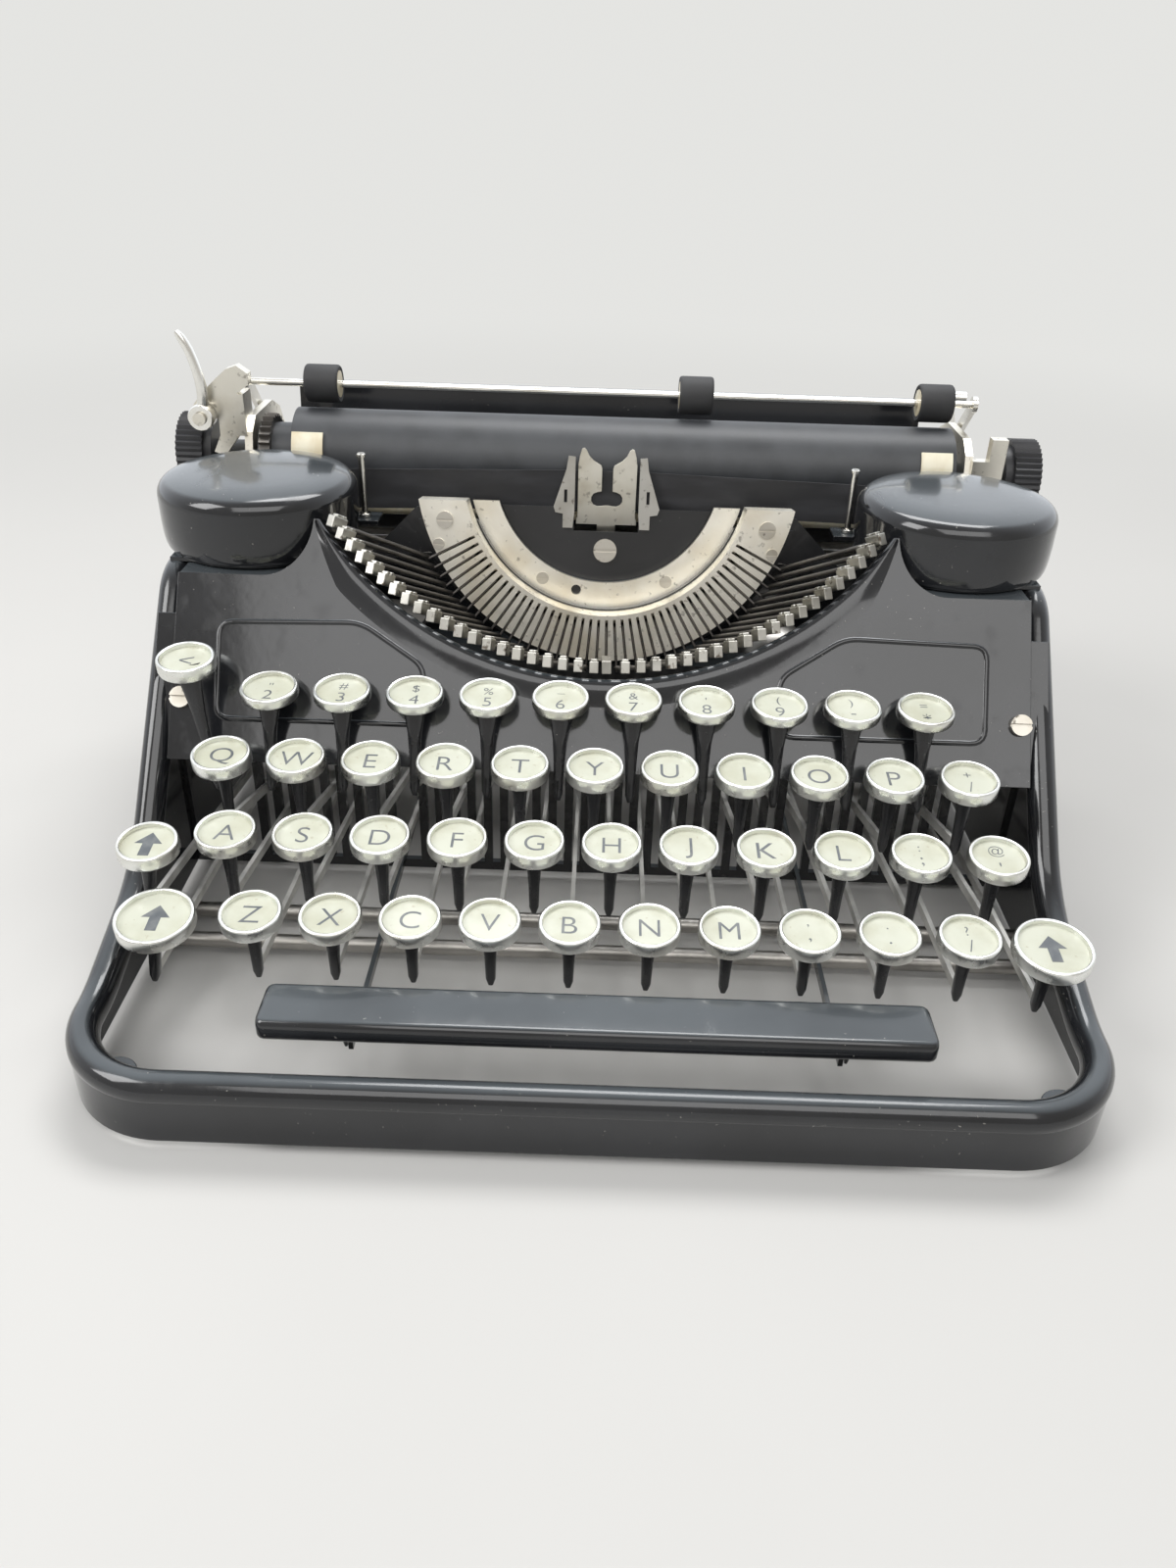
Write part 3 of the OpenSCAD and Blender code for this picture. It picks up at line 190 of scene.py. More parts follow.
class Piece:
    """Corners and faces of one piece in millimetres, each face marked with its finish."""

    def __init__(self):
        self.corners = []
        self.faces = []
        self.marks = []

    def add(self, corners, faces, mark=0, place=None):
        base = len(self.corners)
        self.corners += [place @ Vector(c) if place else Vector(c) for c in corners]
        self.faces += [[base + i for i in face] for face in faces]
        self.marks += [mark] * len(faces)

    def turned(self, profile, place, mark=0, steps=48, hollow=False):
        """A round piece: (radius, height) points spun round the local Z axis."""
        rings = []
        corners = []
        for r, z in profile:
            ring = [len(corners)] if r < 1e-6 else list(range(len(corners), len(corners) + steps))
            for k in range(len(ring)):
                turn = 2 * math.pi * k / steps
                corners.append((r * math.cos(turn), r * math.sin(turn), z))
            rings.append(ring)
        faces = []
        pairs = list(zip(rings, rings[1:] + rings[:1])) if hollow else list(zip(rings, rings[1:]))
        for a, b in pairs:
            for k in range(steps):
                n = (k + 1) % steps
                if len(a) > 1 and len(b) > 1:
                    faces.append([a[k], a[n], b[n], b[k]])
                elif len(b) > 1:
                    faces.append([a[0], b[n], b[k]])
                elif len(a) > 1:
                    faces.append([a[k], a[n], b[0]])
        self.add(corners, faces, mark, place)

    def plate(self, outline, thick, place, mark=0):
        """A flat piece: its outline in the local XY plane, as thick each way along local Z."""
        n = len(outline)
        corners = [(x, y, -thick / 2) for x, y in outline] + [(x, y, thick / 2) for x, y in outline]
        faces = [list(range(n - 1, -1, -1)), list(range(n, 2 * n))]
        faces += [[k, (k + 1) % n, n + (k + 1) % n, n + k] for k in range(n)]
        self.add(corners, faces, mark, place)

    def block(self, low, high, mark=0, place=None):
        corners = [(x, y, z) for z in (low[2], high[2]) for x, y in
                   ((low[0], low[1]), (high[0], low[1]), (high[0], high[1]), (low[0], high[1]))]
        faces = [[3, 2, 1, 0], [4, 5, 6, 7], [0, 1, 5, 4], [1, 2, 6, 5], [2, 3, 7, 6], [3, 0, 4, 7]]
        self.add(corners, faces, mark, place)

    def rod(self, path, radius, mark=0, sides=16, place=None, up=Vector((0, 0, 1))):
        """A round bar along a path; radius is one number or one for each point of the path."""
        path = [Vector(p) for p in path]
        radii = radius if hasattr(radius, "__len__") else [radius] * len(path)
        corners = []
        for i, p in enumerate(path):
            along = (path[min(i + 1, len(path) - 1)] - path[max(i - 1, 0)]).normalized()
            across = along.cross(up).normalized()
            rise = across.cross(along)
            for k in range(sides):
                turn = 2 * math.pi * k / sides
                corners.append(p + radii[i] * (math.cos(turn) * across + math.sin(turn) * rise))
        faces = [list(range(sides))]
        for i in range(len(path) - 1):
            a, b = i * sides, (i + 1) * sides
            faces += [[a + k, b + k, b + (k + 1) % sides, a + (k + 1) % sides] for k in range(sides)]
        faces.append([(len(path) - 1) * sides + k for k in range(sides - 1, -1, -1)])
        self.add(corners, faces, mark, place)

    def set_down(self, name, body, finishes, nodes=(), edge=0.0, sharp=38.0):
        """Makes the mesh, rounds its edges by edge millimetres and lets it ride on its body."""
        mesh = bpy.data.meshes.new(name)
        mesh.from_pydata([c * MM for c in self.corners], [], self.faces)
        for face, mark in zip(mesh.polygons, self.marks):
            face.material_index = mark
        for finish in finishes:
            mesh.materials.append(finish)
        work = bmesh.new()
        work.from_mesh(mesh)
        bmesh.ops.recalc_face_normals(work, faces=work.faces)
        for face in work.faces:
            face.smooth = True
        for side in work.edges:
            side.smooth = len(side.link_faces) != 2 or side.calc_face_angle(0.0) < math.radians(sharp)
        work.to_mesh(mesh)
        work.free()
        made = bpy.data.objects.new(name, mesh)
        bpy.context.scene.collection.objects.link(made)
        if edge:
            rounded = made.modifiers.new("rounded edges", "BEVEL")
            rounded.width = edge * MM
            rounded.segments = 2
            rounded.limit_method = "ANGLE"
            rounded.angle_limit = math.radians(sharp)
            rounded.harden_normals = True
        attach(made, body)
        if nodes:
            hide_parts(*nodes)
        return made


def dress(finish, *nodes):
    """Gives solids that stay as they are their finish."""
    for node in nodes:
        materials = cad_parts[node].data.materials
        materials.clear()
        materials.append(finish)


def spot(x, y, z, tilt=0.0):
    """A place on the machine, leaned back about X by tilt degrees."""
    return Matrix.Translation((x, y, z)) @ Matrix.Rotation(math.radians(tilt), 4, "X")


def side_on(x):
    """Local X runs back and local Y runs up, in the side view at x."""
    return Matrix(((0, 0, 1, x), (1, 0, 0, 0), (0, 1, 0, 0), (0, 0, 0, 1)))


def bend(centre, radius, start, stop, steps):
    """Points of an arc in a drawing plane, angles in degrees."""
    turns = [math.radians(start + (stop - start) * i / steps) for i in range(steps + 1)]
    return [Vector((centre[0] + radius * math.cos(t), centre[1] + radius * math.sin(t))) for t in turns]


black_enamel = enamelled("black_enamel", (0.011, 0.0115, 0.013, 1.0))

LOW_SLOPE, SIDE_SLOPE = math.radians(16.0), math.radians(48.0)
LOW_BEND, MID_BEND, TOP_BEND, LOW_RUN = 40.0, 50.0, 14.0, 21.16
start = Vector((FRONT + CORNER, RAIL_TOP - BEAD))
low_end = start + LOW_BEND * Vector((math.sin(LOW_SLOPE), 1 - math.cos(LOW_SLOPE)))
mid_start = low_end + LOW_RUN * Vector((math.cos(LOW_SLOPE), math.sin(LOW_SLOPE)))
mid_end = mid_start + MID_BEND * Vector((math.sin(SIDE_SLOPE) - math.sin(LOW_SLOPE),
                                         math.cos(LOW_SLOPE) - math.cos(SIDE_SLOPE)))
shoulder_line = SHOULDER - BEAD
climb = (shoulder_line - TOP_BEND * (1 - math.cos(SIDE_SLOPE)) - mid_end[1]) / math.sin(SIDE_SLOPE)
top_start = mid_end + climb * Vector((math.cos(SIDE_SLOPE), math.sin(SIDE_SLOPE)))
side_line = bend(start + Vector((0, LOW_BEND)), LOW_BEND, -90, -74, 8)
side_line += bend(mid_start + MID_BEND * Vector((-math.sin(LOW_SLOPE), math.cos(LOW_SLOPE))),
                  MID_BEND, -74, -42, 14)
side_line += bend(top_start + TOP_BEND * Vector((math.sin(SIDE_SLOPE), -math.cos(SIDE_SLOPE))),
                  TOP_BEND, 138, 90, 10)
side_line.append(Vector((CUP[1] + 27, shoulder_line)))


def wall_top(y):
    """Height of the wall's top edge at y, under the bead or along the rear."""
    if y <= side_line[0][0]:
        return side_line[0][1]
    for a, b in zip(side_line, side_line[1:]):
        if a[0] <= y <= b[0]:
            return a[1] + (b[1] - a[1]) * (y - a[0]) / max(b[0] - a[0], 1e-9)
    return REAR_TOP


def wall_plan(inset):
    """Left half of the frame's plan, from the middle of the rear wall round to the front rail."""
    side_x = inset - HALF_W
    half = [(0.0, HALF_D - inset)]
    half += [tuple(p) for p in bend((REAR_CORNER - HALF_W, HALF_D - REAR_CORNER),
                                    REAR_CORNER - inset, 90, 180, 10)]
    rear_end = side_line[-1][0]
    half += [(side_x, rear_end + 2.0), (side_x, rear_end)]
    half += [(side_x, p[0]) for p in reversed(side_line[:-1])]
    half += [tuple(p) for p in bend((CORNER - HALF_W, FRONT + CORNER), CORNER - inset, 180, 270, 20)][1:]
    return half + [(0.0, FRONT + inset)]


shell = Piece()
outer, inner = wall_plan(WALL_OUT), wall_plan(WALL_IN)
outer += [(-x, y) for x, y in reversed(outer[1:-1])]
inner += [(-x, y) for x, y in reversed(inner[1:-1])]
corners = []
for (ox, oy), (ix, iy) in zip(outer, inner):
    top = wall_top(oy)
    corners += [(ox, oy, FRAME_FOOT), (ox, oy, top), (ix, iy, top), (ix, iy, FRAME_FOOT)]
faces = []
for i in range(len(outer)):
    a, b = 4 * i, 4 * ((i + 1) % len(outer))
    faces += [[a + k, b + k, b + (k + 1) % 4, a + (k + 1) % 4] for k in range(4)]
shell.add(corners, faces)
bead_side = [(BEAD - HALF_W, p[0], p[1]) for p in reversed(side_line)]
bead_corner = [(p[0], p[1], side_line[0][1]) for p in
               bend((CORNER - HALF_W, FRONT + CORNER), CORNER - BEAD, 180, 270, 20)][1:]
bead_half = bead_side + bead_corner
shell.rod(bead_half + [(-x, y, z) for x, y, z in reversed(bead_half)], BEAD, sides=28)
IN_X = HALF_W - WALL_IN
COVER_Y, COVER_Z, COVER_TILT = -43.0, 53.5, 54.6
on_cover = spot(0, COVER_Y, COVER_Z, COVER_TILT)
DECK_IN, LEDGE_IN = 82.0, 116.2
for s in (-1, 1):
    a, b = sorted((s * (IN_X + 0.5), s * DECK_IN))
    shell.block((a, COVER_Y + 41, SHOULDER - 1), (b, CUP[1] + 28, SHOULDER + 0.5))
    a, b = sorted((s * (POST[0] - 5), s * (POST[0] + 15)))
    shell.block((a, POST[1] - 4.5, SHOULDER - 1), (b, POST[1] + 4.5, SHOULDER + 0.5))
    a, b = sorted((s * (IN_X + 0.5), s * LEDGE_IN))
    shell.block((a, 4, -9.4), (b, 42, -1.6), place=on_cover)
SHELF_FRONT, SHELF_T, SHELF_MIDDLE = 75.0, 3.0, 16.5
shelf = [(-IN_X - 0.5, SHELF_FRONT), (IN_X + 0.5, SHELF_FRONT)]
for s, turn in ((1, 0), (-1, 90)):
    corner_middle = (s * (HALF_W - REAR_CORNER), HALF_D - REAR_CORNER)
    shelf += [tuple(p) for p in bend(corner_middle, REAR_CORNER - WALL_IN + 0.5, turn, turn + 90, 10)]
shell.plate(shelf, SHELF_T, Matrix.Translation((0, 0, SHELF_MIDDLE)))
shell.turned([(0, 17), (3, 17), (3, 38), (0, 38)], spot(-88, REAR_IN - 26, 0), steps=32)
boss = [(2.05, 0), (6, 0), (6, 16.8), (2.05, 16.8)]
shell.turned(boss, spot(0, REAR_IN + 0.5, 75, 90), steps=32, hollow=True)
FEET = ((115.3, -121.3), (120.1, 126.1))
for s in (-1, 1):
    for x, y in FEET:
        shell.turned([(0, 8), (5.8, 8), (5.8, 11), (0, 11)], spot(s * x, y, 0), steps=32)
shell.set_down("frame_shell", "base", [black_enamel], ["base_frame"], edge=0.3)

# Small moulded feet of dark rubber under the corners keep the machine from sliding.
# They are turned tapers, dull and a little dusty.
FOOT_H = 8.0


def moulded(name, colour, rough, grain):
    """Hard rubber with a dull, slightly dusty skin."""
    made = Finish(name, IOR=1.48)
    w = made.wire
    cloud = w.noise(70.0, 4.0)
    base = w.mixed(cloud.between(0.35, 0.7), colour, tuple(1.45 * c + 0.004 for c in colour[:3]) + (1.0,))
    made.feed("Base Color", base)
    made.feed("Roughness", rough + 0.16 * cloud)
    made.bump(w.noise(grain, 3.0), 0.00005, 0.4)
    return made.material


dark_rubber = moulded("dark_rubber", (0.022, 0.022, 0.023, 1.0), 0.55, 2200.0)
feet = Piece()
for s in (-1, 1):
    for x, y in FEET:
        feet.turned([(0, 0), (2.7, 0), (3.0, 0.4), (4.5, FOOT_H - 0.3), (4.3, FOOT_H), (0, FOOT_H)],
                    spot(s * x, y, 0), steps=32)
feet.set_down("feet", "base", [dark_rubber], ["rubber_feet"])

# The front cover is a pressed sheet that slopes back between the two sides. Its round
# cut-out has a rolled rim, and two outline panels are pressed into it. It is enamelled
# like the frame and is held by a slotted screw at each lower corner.
COVER_T = 1.6
COVER_HALF = 121.0
SHOULDER_S = (SHOULDER - COVER_Z) / math.sin(math.radians(COVER_TILT))
ARC_S, CUT_R = 125.4, 99.0
PEAK_TURN, PEAK_OUT, PEAK_LEAN = 56.0, 97.5, 14.0
PANEL = [(-108, 12), (-50.5, 12), (-50, 28.5), (-68.5, 40.5), (-108.5, 39.5)]

cover = Piece()
cut = bend((0, ARC_S), CUT_R, -90 - PEAK_TURN, -90 + PEAK_TURN, 80)
hug = []
for turn in range(0, 91, 6):
    reach = math.radians(turn)
    rise = (cut[0][1] - SHOULDER_S) * (1 - math.cos(reach))
    hug.append((PEAK_LEAN * math.sin(reach) - PEAK_OUT, SHOULDER_S + rise))
outline = [(-COVER_HALF, 0), (COVER_HALF, 0), (COVER_HALF, SHOULDER_S)]
outline += [(-x, y) for x, y in hug]
outline += [tuple(p) for p in reversed(cut)]
outline += list(reversed(hug)) + [(-COVER_HALF, SHOULDER_S)]
cover.plate(outline, COVER_T, on_cover @ Matrix.Translation((0, 0, -COVER_T / 2)))
# rolled edge of the cut-out, narrower towards the peaks: (out from the cut, height) points
roll = [(-0.4, -1.9), (-0.4, -0.9), (-0.2, -0.2), (0.4, 0.3), (1.2, 0.6), (2.2, 0.75), (3.2, 0.68),
        (4.6, 0.42), (6.4, 0.14), (8.4, -0.06), (8.4, -0.8)]
TURNS = 96
corners = []
for i in range(TURNS + 1):
    angle = PEAK_TURN * (2 * i / TURNS - 1)
    wide = min(1.0, 0.16 + (PEAK_TURN - abs(angle)) / 13)
    for out, height in roll:
        r = CUT_R + (out * wide if out > 0 else out)
        turn = math.radians(angle)
        corners.append((r * math.sin(turn), ARC_S - r * math.cos(turn), height))
n = len(roll)
faces = [list(range(n)), [n * TURNS + k for k in range(n - 1, -1, -1)]]
faces += [[n * i + k, n * i + n + k, n * i + n + (k + 1) % n, n * i + (k + 1) % n]
          for i in range(TURNS) for k in range(n)]
cover.add(corners, faces, place=on_cover)
RETURN_IN = 86.0
shoulder_y = COVER_Y + SHOULDER_S * math.cos(math.radians(COVER_TILT))
for s in (-1, 1):
    a, b = sorted((s * (COVER_HALF - 0.4), s * RETURN_IN))
    cover.block((a, shoulder_y + 0.3, SHOULDER - 1.75), (b, shoulder_y + 8, SHOULDER - 0.15))
    corner_points = [Vector((-s * x, y)) for x, y in PANEL]
    line = []
    for i, p in enumerate(corner_points):
        before, after = corner_points[i - 1], corner_points[(i + 1) % len(corner_points)]
        a, b = p + 4 * (before - p).normalized(), p + 4 * (after - p).normalized()
        line += [(1 - t) ** 2 * a + 2 * t * (1 - t) * p + t ** 2 * b for t in (0, 0.2, 0.4, 0.6, 0.8, 1)]
    ring = []
    for side, height in ((-0.9, -0.05), (-0.35, 0.38), (0.35, 0.38), (0.9, -0.05)):
        for i, p in enumerate(line):
            along = (line[(i + 1) % len(line)] - line[i - 1]).normalized()
            ring.append((p[0] - side * along[1], p[1] + side * along[0], height))
    n = len(line)
    faces = [[r * n + i, r * n + (i + 1) % n, ((r + 1) % 4) * n + (i + 1) % n, ((r + 1) % 4) * n + i]
             for r in range(4) for i in range(n)]
    cover.add(ring, faces, place=on_cover)
cover.set_down("front_cover_sheet", "base", [black_enamel], ["front_cover"],
               edge=0.5, sharp=50.0)


def plated(name, colour, stain, rough, dirt=0.0):
    """Nickel plate that has yellowed and picked up fine dirt and rub marks."""
    made = Finish(name, Metallic=1.0)
    w = made.wire
    cloud = w.noise(55.0, 5.0)
    rub = w.noise(240.0, 4.0, (1.0, 0.2, 1.0))
    base = w.mixed(cloud.between(0.42, 0.72), colour, stain)
    if dirt:
        soil = w.noise(420.0, 4.0).between(0.6, 0.72) * dirt
        base = w.mixed(soil, base, (0.12, 0.1, 0.08, 1.0))
        made.feed("Roughness", rough + 0.16 * rub + 0.3 * soil)
    else:
        made.feed("Roughness", rough + 0.16 * rub)
    made.feed("Base Color", base)
    made.bump(w.noise(1500.0, 2.0, (1.0, 0.15, 1.0)), 0.00002, 0.3)
    return made.material


old_nickel = plated("old_nickel", (0.8, 0.77, 0.69, 1.0), (0.6, 0.55, 0.45, 1.0), 0.26, dirt=0.5)
bright_nickel = plated("bright_nickel", (0.86, 0.85, 0.81, 1.0), (0.72, 0.69, 0.62, 1.0), 0.14)
dress(plated("screw_nickel", (0.66, 0.63, 0.57, 1.0), (0.44, 0.4, 0.32, 1.0), 0.34, dirt=0.8), "screws")

# Two drawn steel cups hold the ribbon spools, and a domed lid drops over each of them.
# Lid and cup are black enamel; the lid's top edge is rolled to a soft radius and its
# skirt has a slot towards the ribbon post.
LID_R, LID_LOW, LID_TOP, LID_WALL = 29.0, 98.3, 118.6, 1.2
CUP_TOP = 113.9
SLOT_H, SLOT_MIDDLE = 14.7, 106.05
dress(black_enamel, "left_spool_cup", "right_spool_cup")
lid_profile = [(LID_R - LID_WALL, LID_LOW), (LID_R - 0.9, LID_LOW), (LID_R - 0.5, LID_LOW + 1.2),
               (LID_R - 0.18, LID_LOW + 3.6), (LID_R, LID_LOW + 7.5), (LID_R, LID_TOP - 6.0)]
lid_profile += [tuple(p) for p in bend((LID_R - 4.5, LID_TOP - 6.0), 4.5, 8, 72, 12)]
lid_profile += [(LID_R - 4.6, LID_TOP - 1.3), (LID_R * 0.75, LID_TOP - 0.75), (LID_R * 0.6, LID_TOP - 0.38),
                (LID_R * 0.4, LID_TOP - 0.16), (LID_R * 0.2, LID_TOP - 0.04),
                (LID_R * 0.08, LID_TOP - 0.006), (0, LID_TOP)]
lid_inside = [(0, CUP_TOP), (LID_R - LID_WALL - 1.5, CUP_TOP), (LID_R - LID_WALL, CUP_TOP - 1)]
lid_profile = lid_inside + lid_profile
for side, s in (("left", -1), ("right", 1)):
    lid = Piece()
    lid.turned(lid_profile, spot(s * CUP[0], CUP[1], 0), steps=128)
    made = lid.set_down(side + "_lid", "base", [black_enamel], [side + "_cup_lid"],
                        sharp=60.0)
    slot_cut = Piece()
    a, b = Vector((s * 105.6, 34.5)), Vector((s * 78.3, 41.45))
    across = Vector((a[1] - b[1], b[0] - a[0])).normalized() * 2
    slot_cut.plate([a + across, b + across, b - across, a - across], SLOT_H,
                   Matrix.Translation((0, 0, SLOT_MIDDLE)))
    cutter = slot_cut.set_down(side + "_slot_cut", "base", [black_enamel])
    opened = made.modifiers.new("ribbon slot", "BOOLEAN")
    opened.object = cutter
    opened.solver = "EXACT"
    bpy.context.view_layer.update()
    shaped = bpy.data.meshes.new_from_object(made.evaluated_get(bpy.context.evaluated_depsgraph_get()))
    made.modifiers.clear()
    made.data = shaped
    bpy.data.objects.remove(cutter)

# The spools are turned steel reels that run loose on the cup's spindle.
# They are bare steel, dull from ink and oil.


def bare_steel(name, colour, rough, streak, metal=1.0):
    """Drawn or ground steel with streaks along the work and a thin film of oil."""
    made = Finish(name, Metallic=metal)
    w = made.wire
    cloud = w.noise(60.0, 4.0)
    lines = w.noise(300.0, 3.0, streak)
    base = w.mixed(cloud.between(0.4, 0.75), colour, tuple(0.55 * c for c in colour[:3]) + (1.0,))
    made.feed("Base Color", base)
    made.feed("Roughness", rough + 0.22 * lines)
    made.bump(lines, 0.00004, 0.35)
    return made.material


oiled_steel = bare_steel("oiled_steel", (0.5, 0.48, 0.45, 1.0), 0.28, (1.0, 6.0, 6.0))
dress(oiled_steel, "left_spool", "right_spool")

# The ribbon is a strip of woven cotton, half an inch wide and soaked with black ink. It
# runs from one spool round its post, behind the vibrator and on to the other spool.
RIBBON_LOW, RIBBON_W, RIBBON_T = 99.7, 12.7, 0.24
MIDDLE_HALF, MIDDLE_Y = 11.0, 47.3
RIBBON_HALF = [(105.6, 34.5), (78.3, 41.45), (75.8, 41.55), (MIDDLE_HALF, MIDDLE_Y)]

inked = Finish("inked_cotton", Sheen_Weight=0.12, Sheen_Roughness=0.5)
w = inked.wire
weave_place = w.make("ShaderNodeTexCoord", out=3)
threads = {"Vector": weave_place, "Scale": 1300.0, "Distortion": 0.4}
warp = w.make("ShaderNodeTexWave", {"bands_direction": "X"}, threads)
weft = w.make("ShaderNodeTexWave", {"bands_direction": "Z"}, threads)
worn = w.noise(45.0, 4.0, (1.0, 1.0, 4.0)).between(0.4, 0.75)
inked.feed("Base Color", w.mixed(worn, (0.014, 0.014, 0.016, 1.0), (0.04, 0.04, 0.044, 1.0)))
inked.feed("Roughness", 0.62 + 0.2 * worn)
inked.bump(warp * weft, 0.00008, 0.6)

half_run = []
for a, b in zip(RIBBON_HALF, RIBBON_HALF[1:]):
    pieces = max(1, round(math.dist(a, b) / 2.0))
    half_run += [Vector(a).lerp(Vector(b), i / pieces) for i in range(pieces)]
run = [Vector((p[0], p[1])) for p in half_run]
STEPS = 11
middle = [Vector((MIDDLE_HALF - 2 * MIDDLE_HALF * i / STEPS, MIDDLE_Y)) for i in range(STEPS)]
run += middle + [Vector((-p[0], p[1])) for p in reversed(half_run + [Vector(RIBBON_HALF[-1])])]
ROWS = 8
strip = Piece()
corners = []
for face_side in (-0.5, 0.5):
    for i, p in enumerate(run):
        for r in range(ROWS + 1):
            slack = 0.1 * math.sin(0.21 * i) * math.sin(math.pi * r / ROWS)
            corners.append((p[0], p[1] + slack + face_side * RIBBON_T, RIBBON_LOW + RIBBON_W * r / ROWS))
n, m = len(run), ROWS + 1
faces = []
for i in range(n - 1):
    for r in range(ROWS):
        a, b = i * m + r, (i + 1) * m + r
        faces += [[a, a + 1, b + 1, b], [n * m + a, n * m + b, n * m + b + 1, n * m + a + 1]]
    a, b = i * m, (i + 1) * m
    faces += [[a, b, n * m + b, n * m + a], [a + ROWS, n * m + a + ROWS, n * m + b + ROWS, b + ROWS]]
for i in (0, n - 1):
    faces += [[i * m + r, i * m + r + 1, n * m + i * m + r + 1, n * m + i * m + r] for r in range(ROWS)]
strip.add(corners, faces)
ribbon = strip.set_down("ribbon_strip", "base", [inked.material], ["ribbon"], sharp=60.0)
ribbon_length = sum((b - a).length for a, b in zip(run, run[1:]))
ribbon_length * MM

# Two nickelled posts stand on the deck and turn the ribbon towards the middle.
# Each is a turned pin with a foot and a head.
posts = Piece()
for s in (-1, 1):
    pin = [(0, 97.5), (1.8, 97.5), (2, 97.7), (2, 98.5), (1.8, 98.7), (1, 98.9), (1, 116.4), (1.4, 116.6),
           (1.4, 117.4), (1.1, 117.7), (0, 117.7)]
    posts.turned(pin, spot(s * POST[0], POST[1], 0), steps=32)
posts.set_down("ribbon_posts", "base", [bright_nickel], ["ribbon_guides"])

# The vibrator is a stamped nickel plate that lifts the ribbon in front of each letter. It
# has two horns, a slot for the type and a leaf-shaped window each side of the slot's foot.
# Its stem slides in the segment casting.
VIB_Y, VIB_Z, VIB_T = 46.55, 101.3, 0.6
half_plate = [(9.8, -6.2), (9.8, -4.4), (9.4, -3.9), (9.4, 13.2), (9.0, 15.9), (8.3, 18.3), (7.6, 18.6),
              (6.9, 18.0), (6.0, 16.2), (4.6, 14.7), (3.1, 13.8), (2.1, 13.2), (1.75, 12.2), (1.75, 4.8),
              (2.9, 4.6), (4.3, 4.0), (5.0, 2.9), (5.0, 1.5), (4.3, 0.4), (3.1, -0.1), (1.8, 0.0), (0.5, 0.2)]
front_view = Matrix(((1, 0, 0, 0), (0, 0, 1, VIB_Y), (0, 1, 0, VIB_Z), (0, 0, 0, 1)))
plate = Piece()
outline = [(3.0, -30), (3.0, -6.2)] + half_plate
plate.plate(outline + [(-x, y) for x, y in reversed(outline)], VIB_T, front_view)
plate.set_down("ribbon_lifter", "ribbon_vibrator_body", [old_nickel], ["ribbon_vibrator"],
               edge=0.1)

# The type segment is a slotted steel ring, nickelled and polished on its face, with a
# hardened wire through it that all the typebars hang on. A black casting carries it, a
# nickel band and a black half-disc plate with one large screw close its middle.
segment_nickel = plated("segment_nickel", (0.97, 0.94, 0.85, 1.0), (0.84, 0.78, 0.65, 1.0), 0.34, dirt=0.6)
dress(segment_nickel, "type_segment", "segment_band")
dress(plated("dull_nickel", (0.5, 0.49, 0.46, 1.0), (0.36, 0.34, 0.3, 1.0), 0.38, dirt=0.6), "type_guide")
segment_black = enamelled("segment_black", (0.016, 0.016, 0.017, 1.0), specks=0.3, gloss=0.3)
dress(segment_black, "segment_bracket", "segment_plate")
dress(oiled_steel, "pivot_wire")

# Forty-two typebars rest in a fan: each lies in its slot, turns up at the segment's edge and
# ends in a slug on a padded rest under the rim. Bars are blanked from sheet and dark with
# oil; the slugs are hard steel, bright where they strike.
SEG_Y, SEG_Z, SEG_TILT = 30.8, 117.03, 78.0
BARS, BAR_STEP, SLUG_STEP, BAR_T = 42, 3.07, 2.62, 0.7
ROOT, ELBOW = Vector((50.0, -5.0)), Vector((62.0, -2.5))
SLUG_R, SLUG_UP, SLUG_L, STRUCK = 96.2, 1.2, 7.0, 21
slug_steel = plated("slug_steel", (0.56, 0.55, 0.51, 1.0), (0.3, 0.29, 0.26, 1.0), 0.24, dirt=1.0)
bar_steel = bare_steel("bar_steel", (0.17, 0.16, 0.15, 1.0), 0.34, (6.0, 6.0, 1.0))
lie = math.degrees(math.atan2(ELBOW[1] - ROOT[1], ELBOW[0] - ROOT[0]))
foot = bend(ROOT, 2.2, lie + 90, lie + 270, 10) + bend(ELBOW, 1.5, lie - 90, lie + 90, 8)


def slot_plane(n):
    """Plane of one typebar: local X runs out from the segment's middle, local Y out of its face."""
    turn = math.radians((n - BARS / 2 + 0.5) * BAR_STEP - 90)
    round_ring = spot(0, SEG_Y, SEG_Z, SEG_TILT) @ Matrix.Rotation(turn, 4, "Z")
    return round_ring @ Matrix.Rotation(math.pi / 2, 4, "X")


bars = Piece()
for n in range(BARS):
    if n != STRUCK:
        plane = slot_plane(n)
        bars.plate([tuple(p) for p in foot], BAR_T, plane, 1)
        around = math.radians((n - BARS / 2 + 0.5) * SLUG_STEP)
        tip = on_cover @ Vector((SLUG_R * math.sin(around), ARC_S - SLUG_R * math.cos(around), SLUG_UP))
        turn_up = plane @ Vector((ELBOW[0], ELBOW[1], 0))
        along = (tip - turn_up).normalized()
        bars.rod([turn_up, tip], 0.8, 1, 8, up=Vector((1, 0, 0)))
        heading = math.atan2(along[1], along[0])
        lean = math.acos(along[2])
        at_tip = Matrix.Translation(tip) @ Matrix.Rotation(heading, 4, "Z") @ Matrix.Rotation(lean, 4, "Y")
        bars.block((-2.2, -1.3, 2.7 - SLUG_L), (1.2, 1.3, 1.3), 0, at_tip)
        for h in (0.2, 0.6):
            low = 2.7 - SLUG_L + h * 5.6
            bars.block((-2.9, -1.0, low - 0.7), (-2.1, 1.0, low + 0.9), 0, at_tip)
bars.set_down("typebar_fan", "base", [slug_steel, bar_steel], ["typebars"], edge=0.28)
BAR_REACH = 50.72
struck = Piece()
plane = slot_plane(STRUCK)
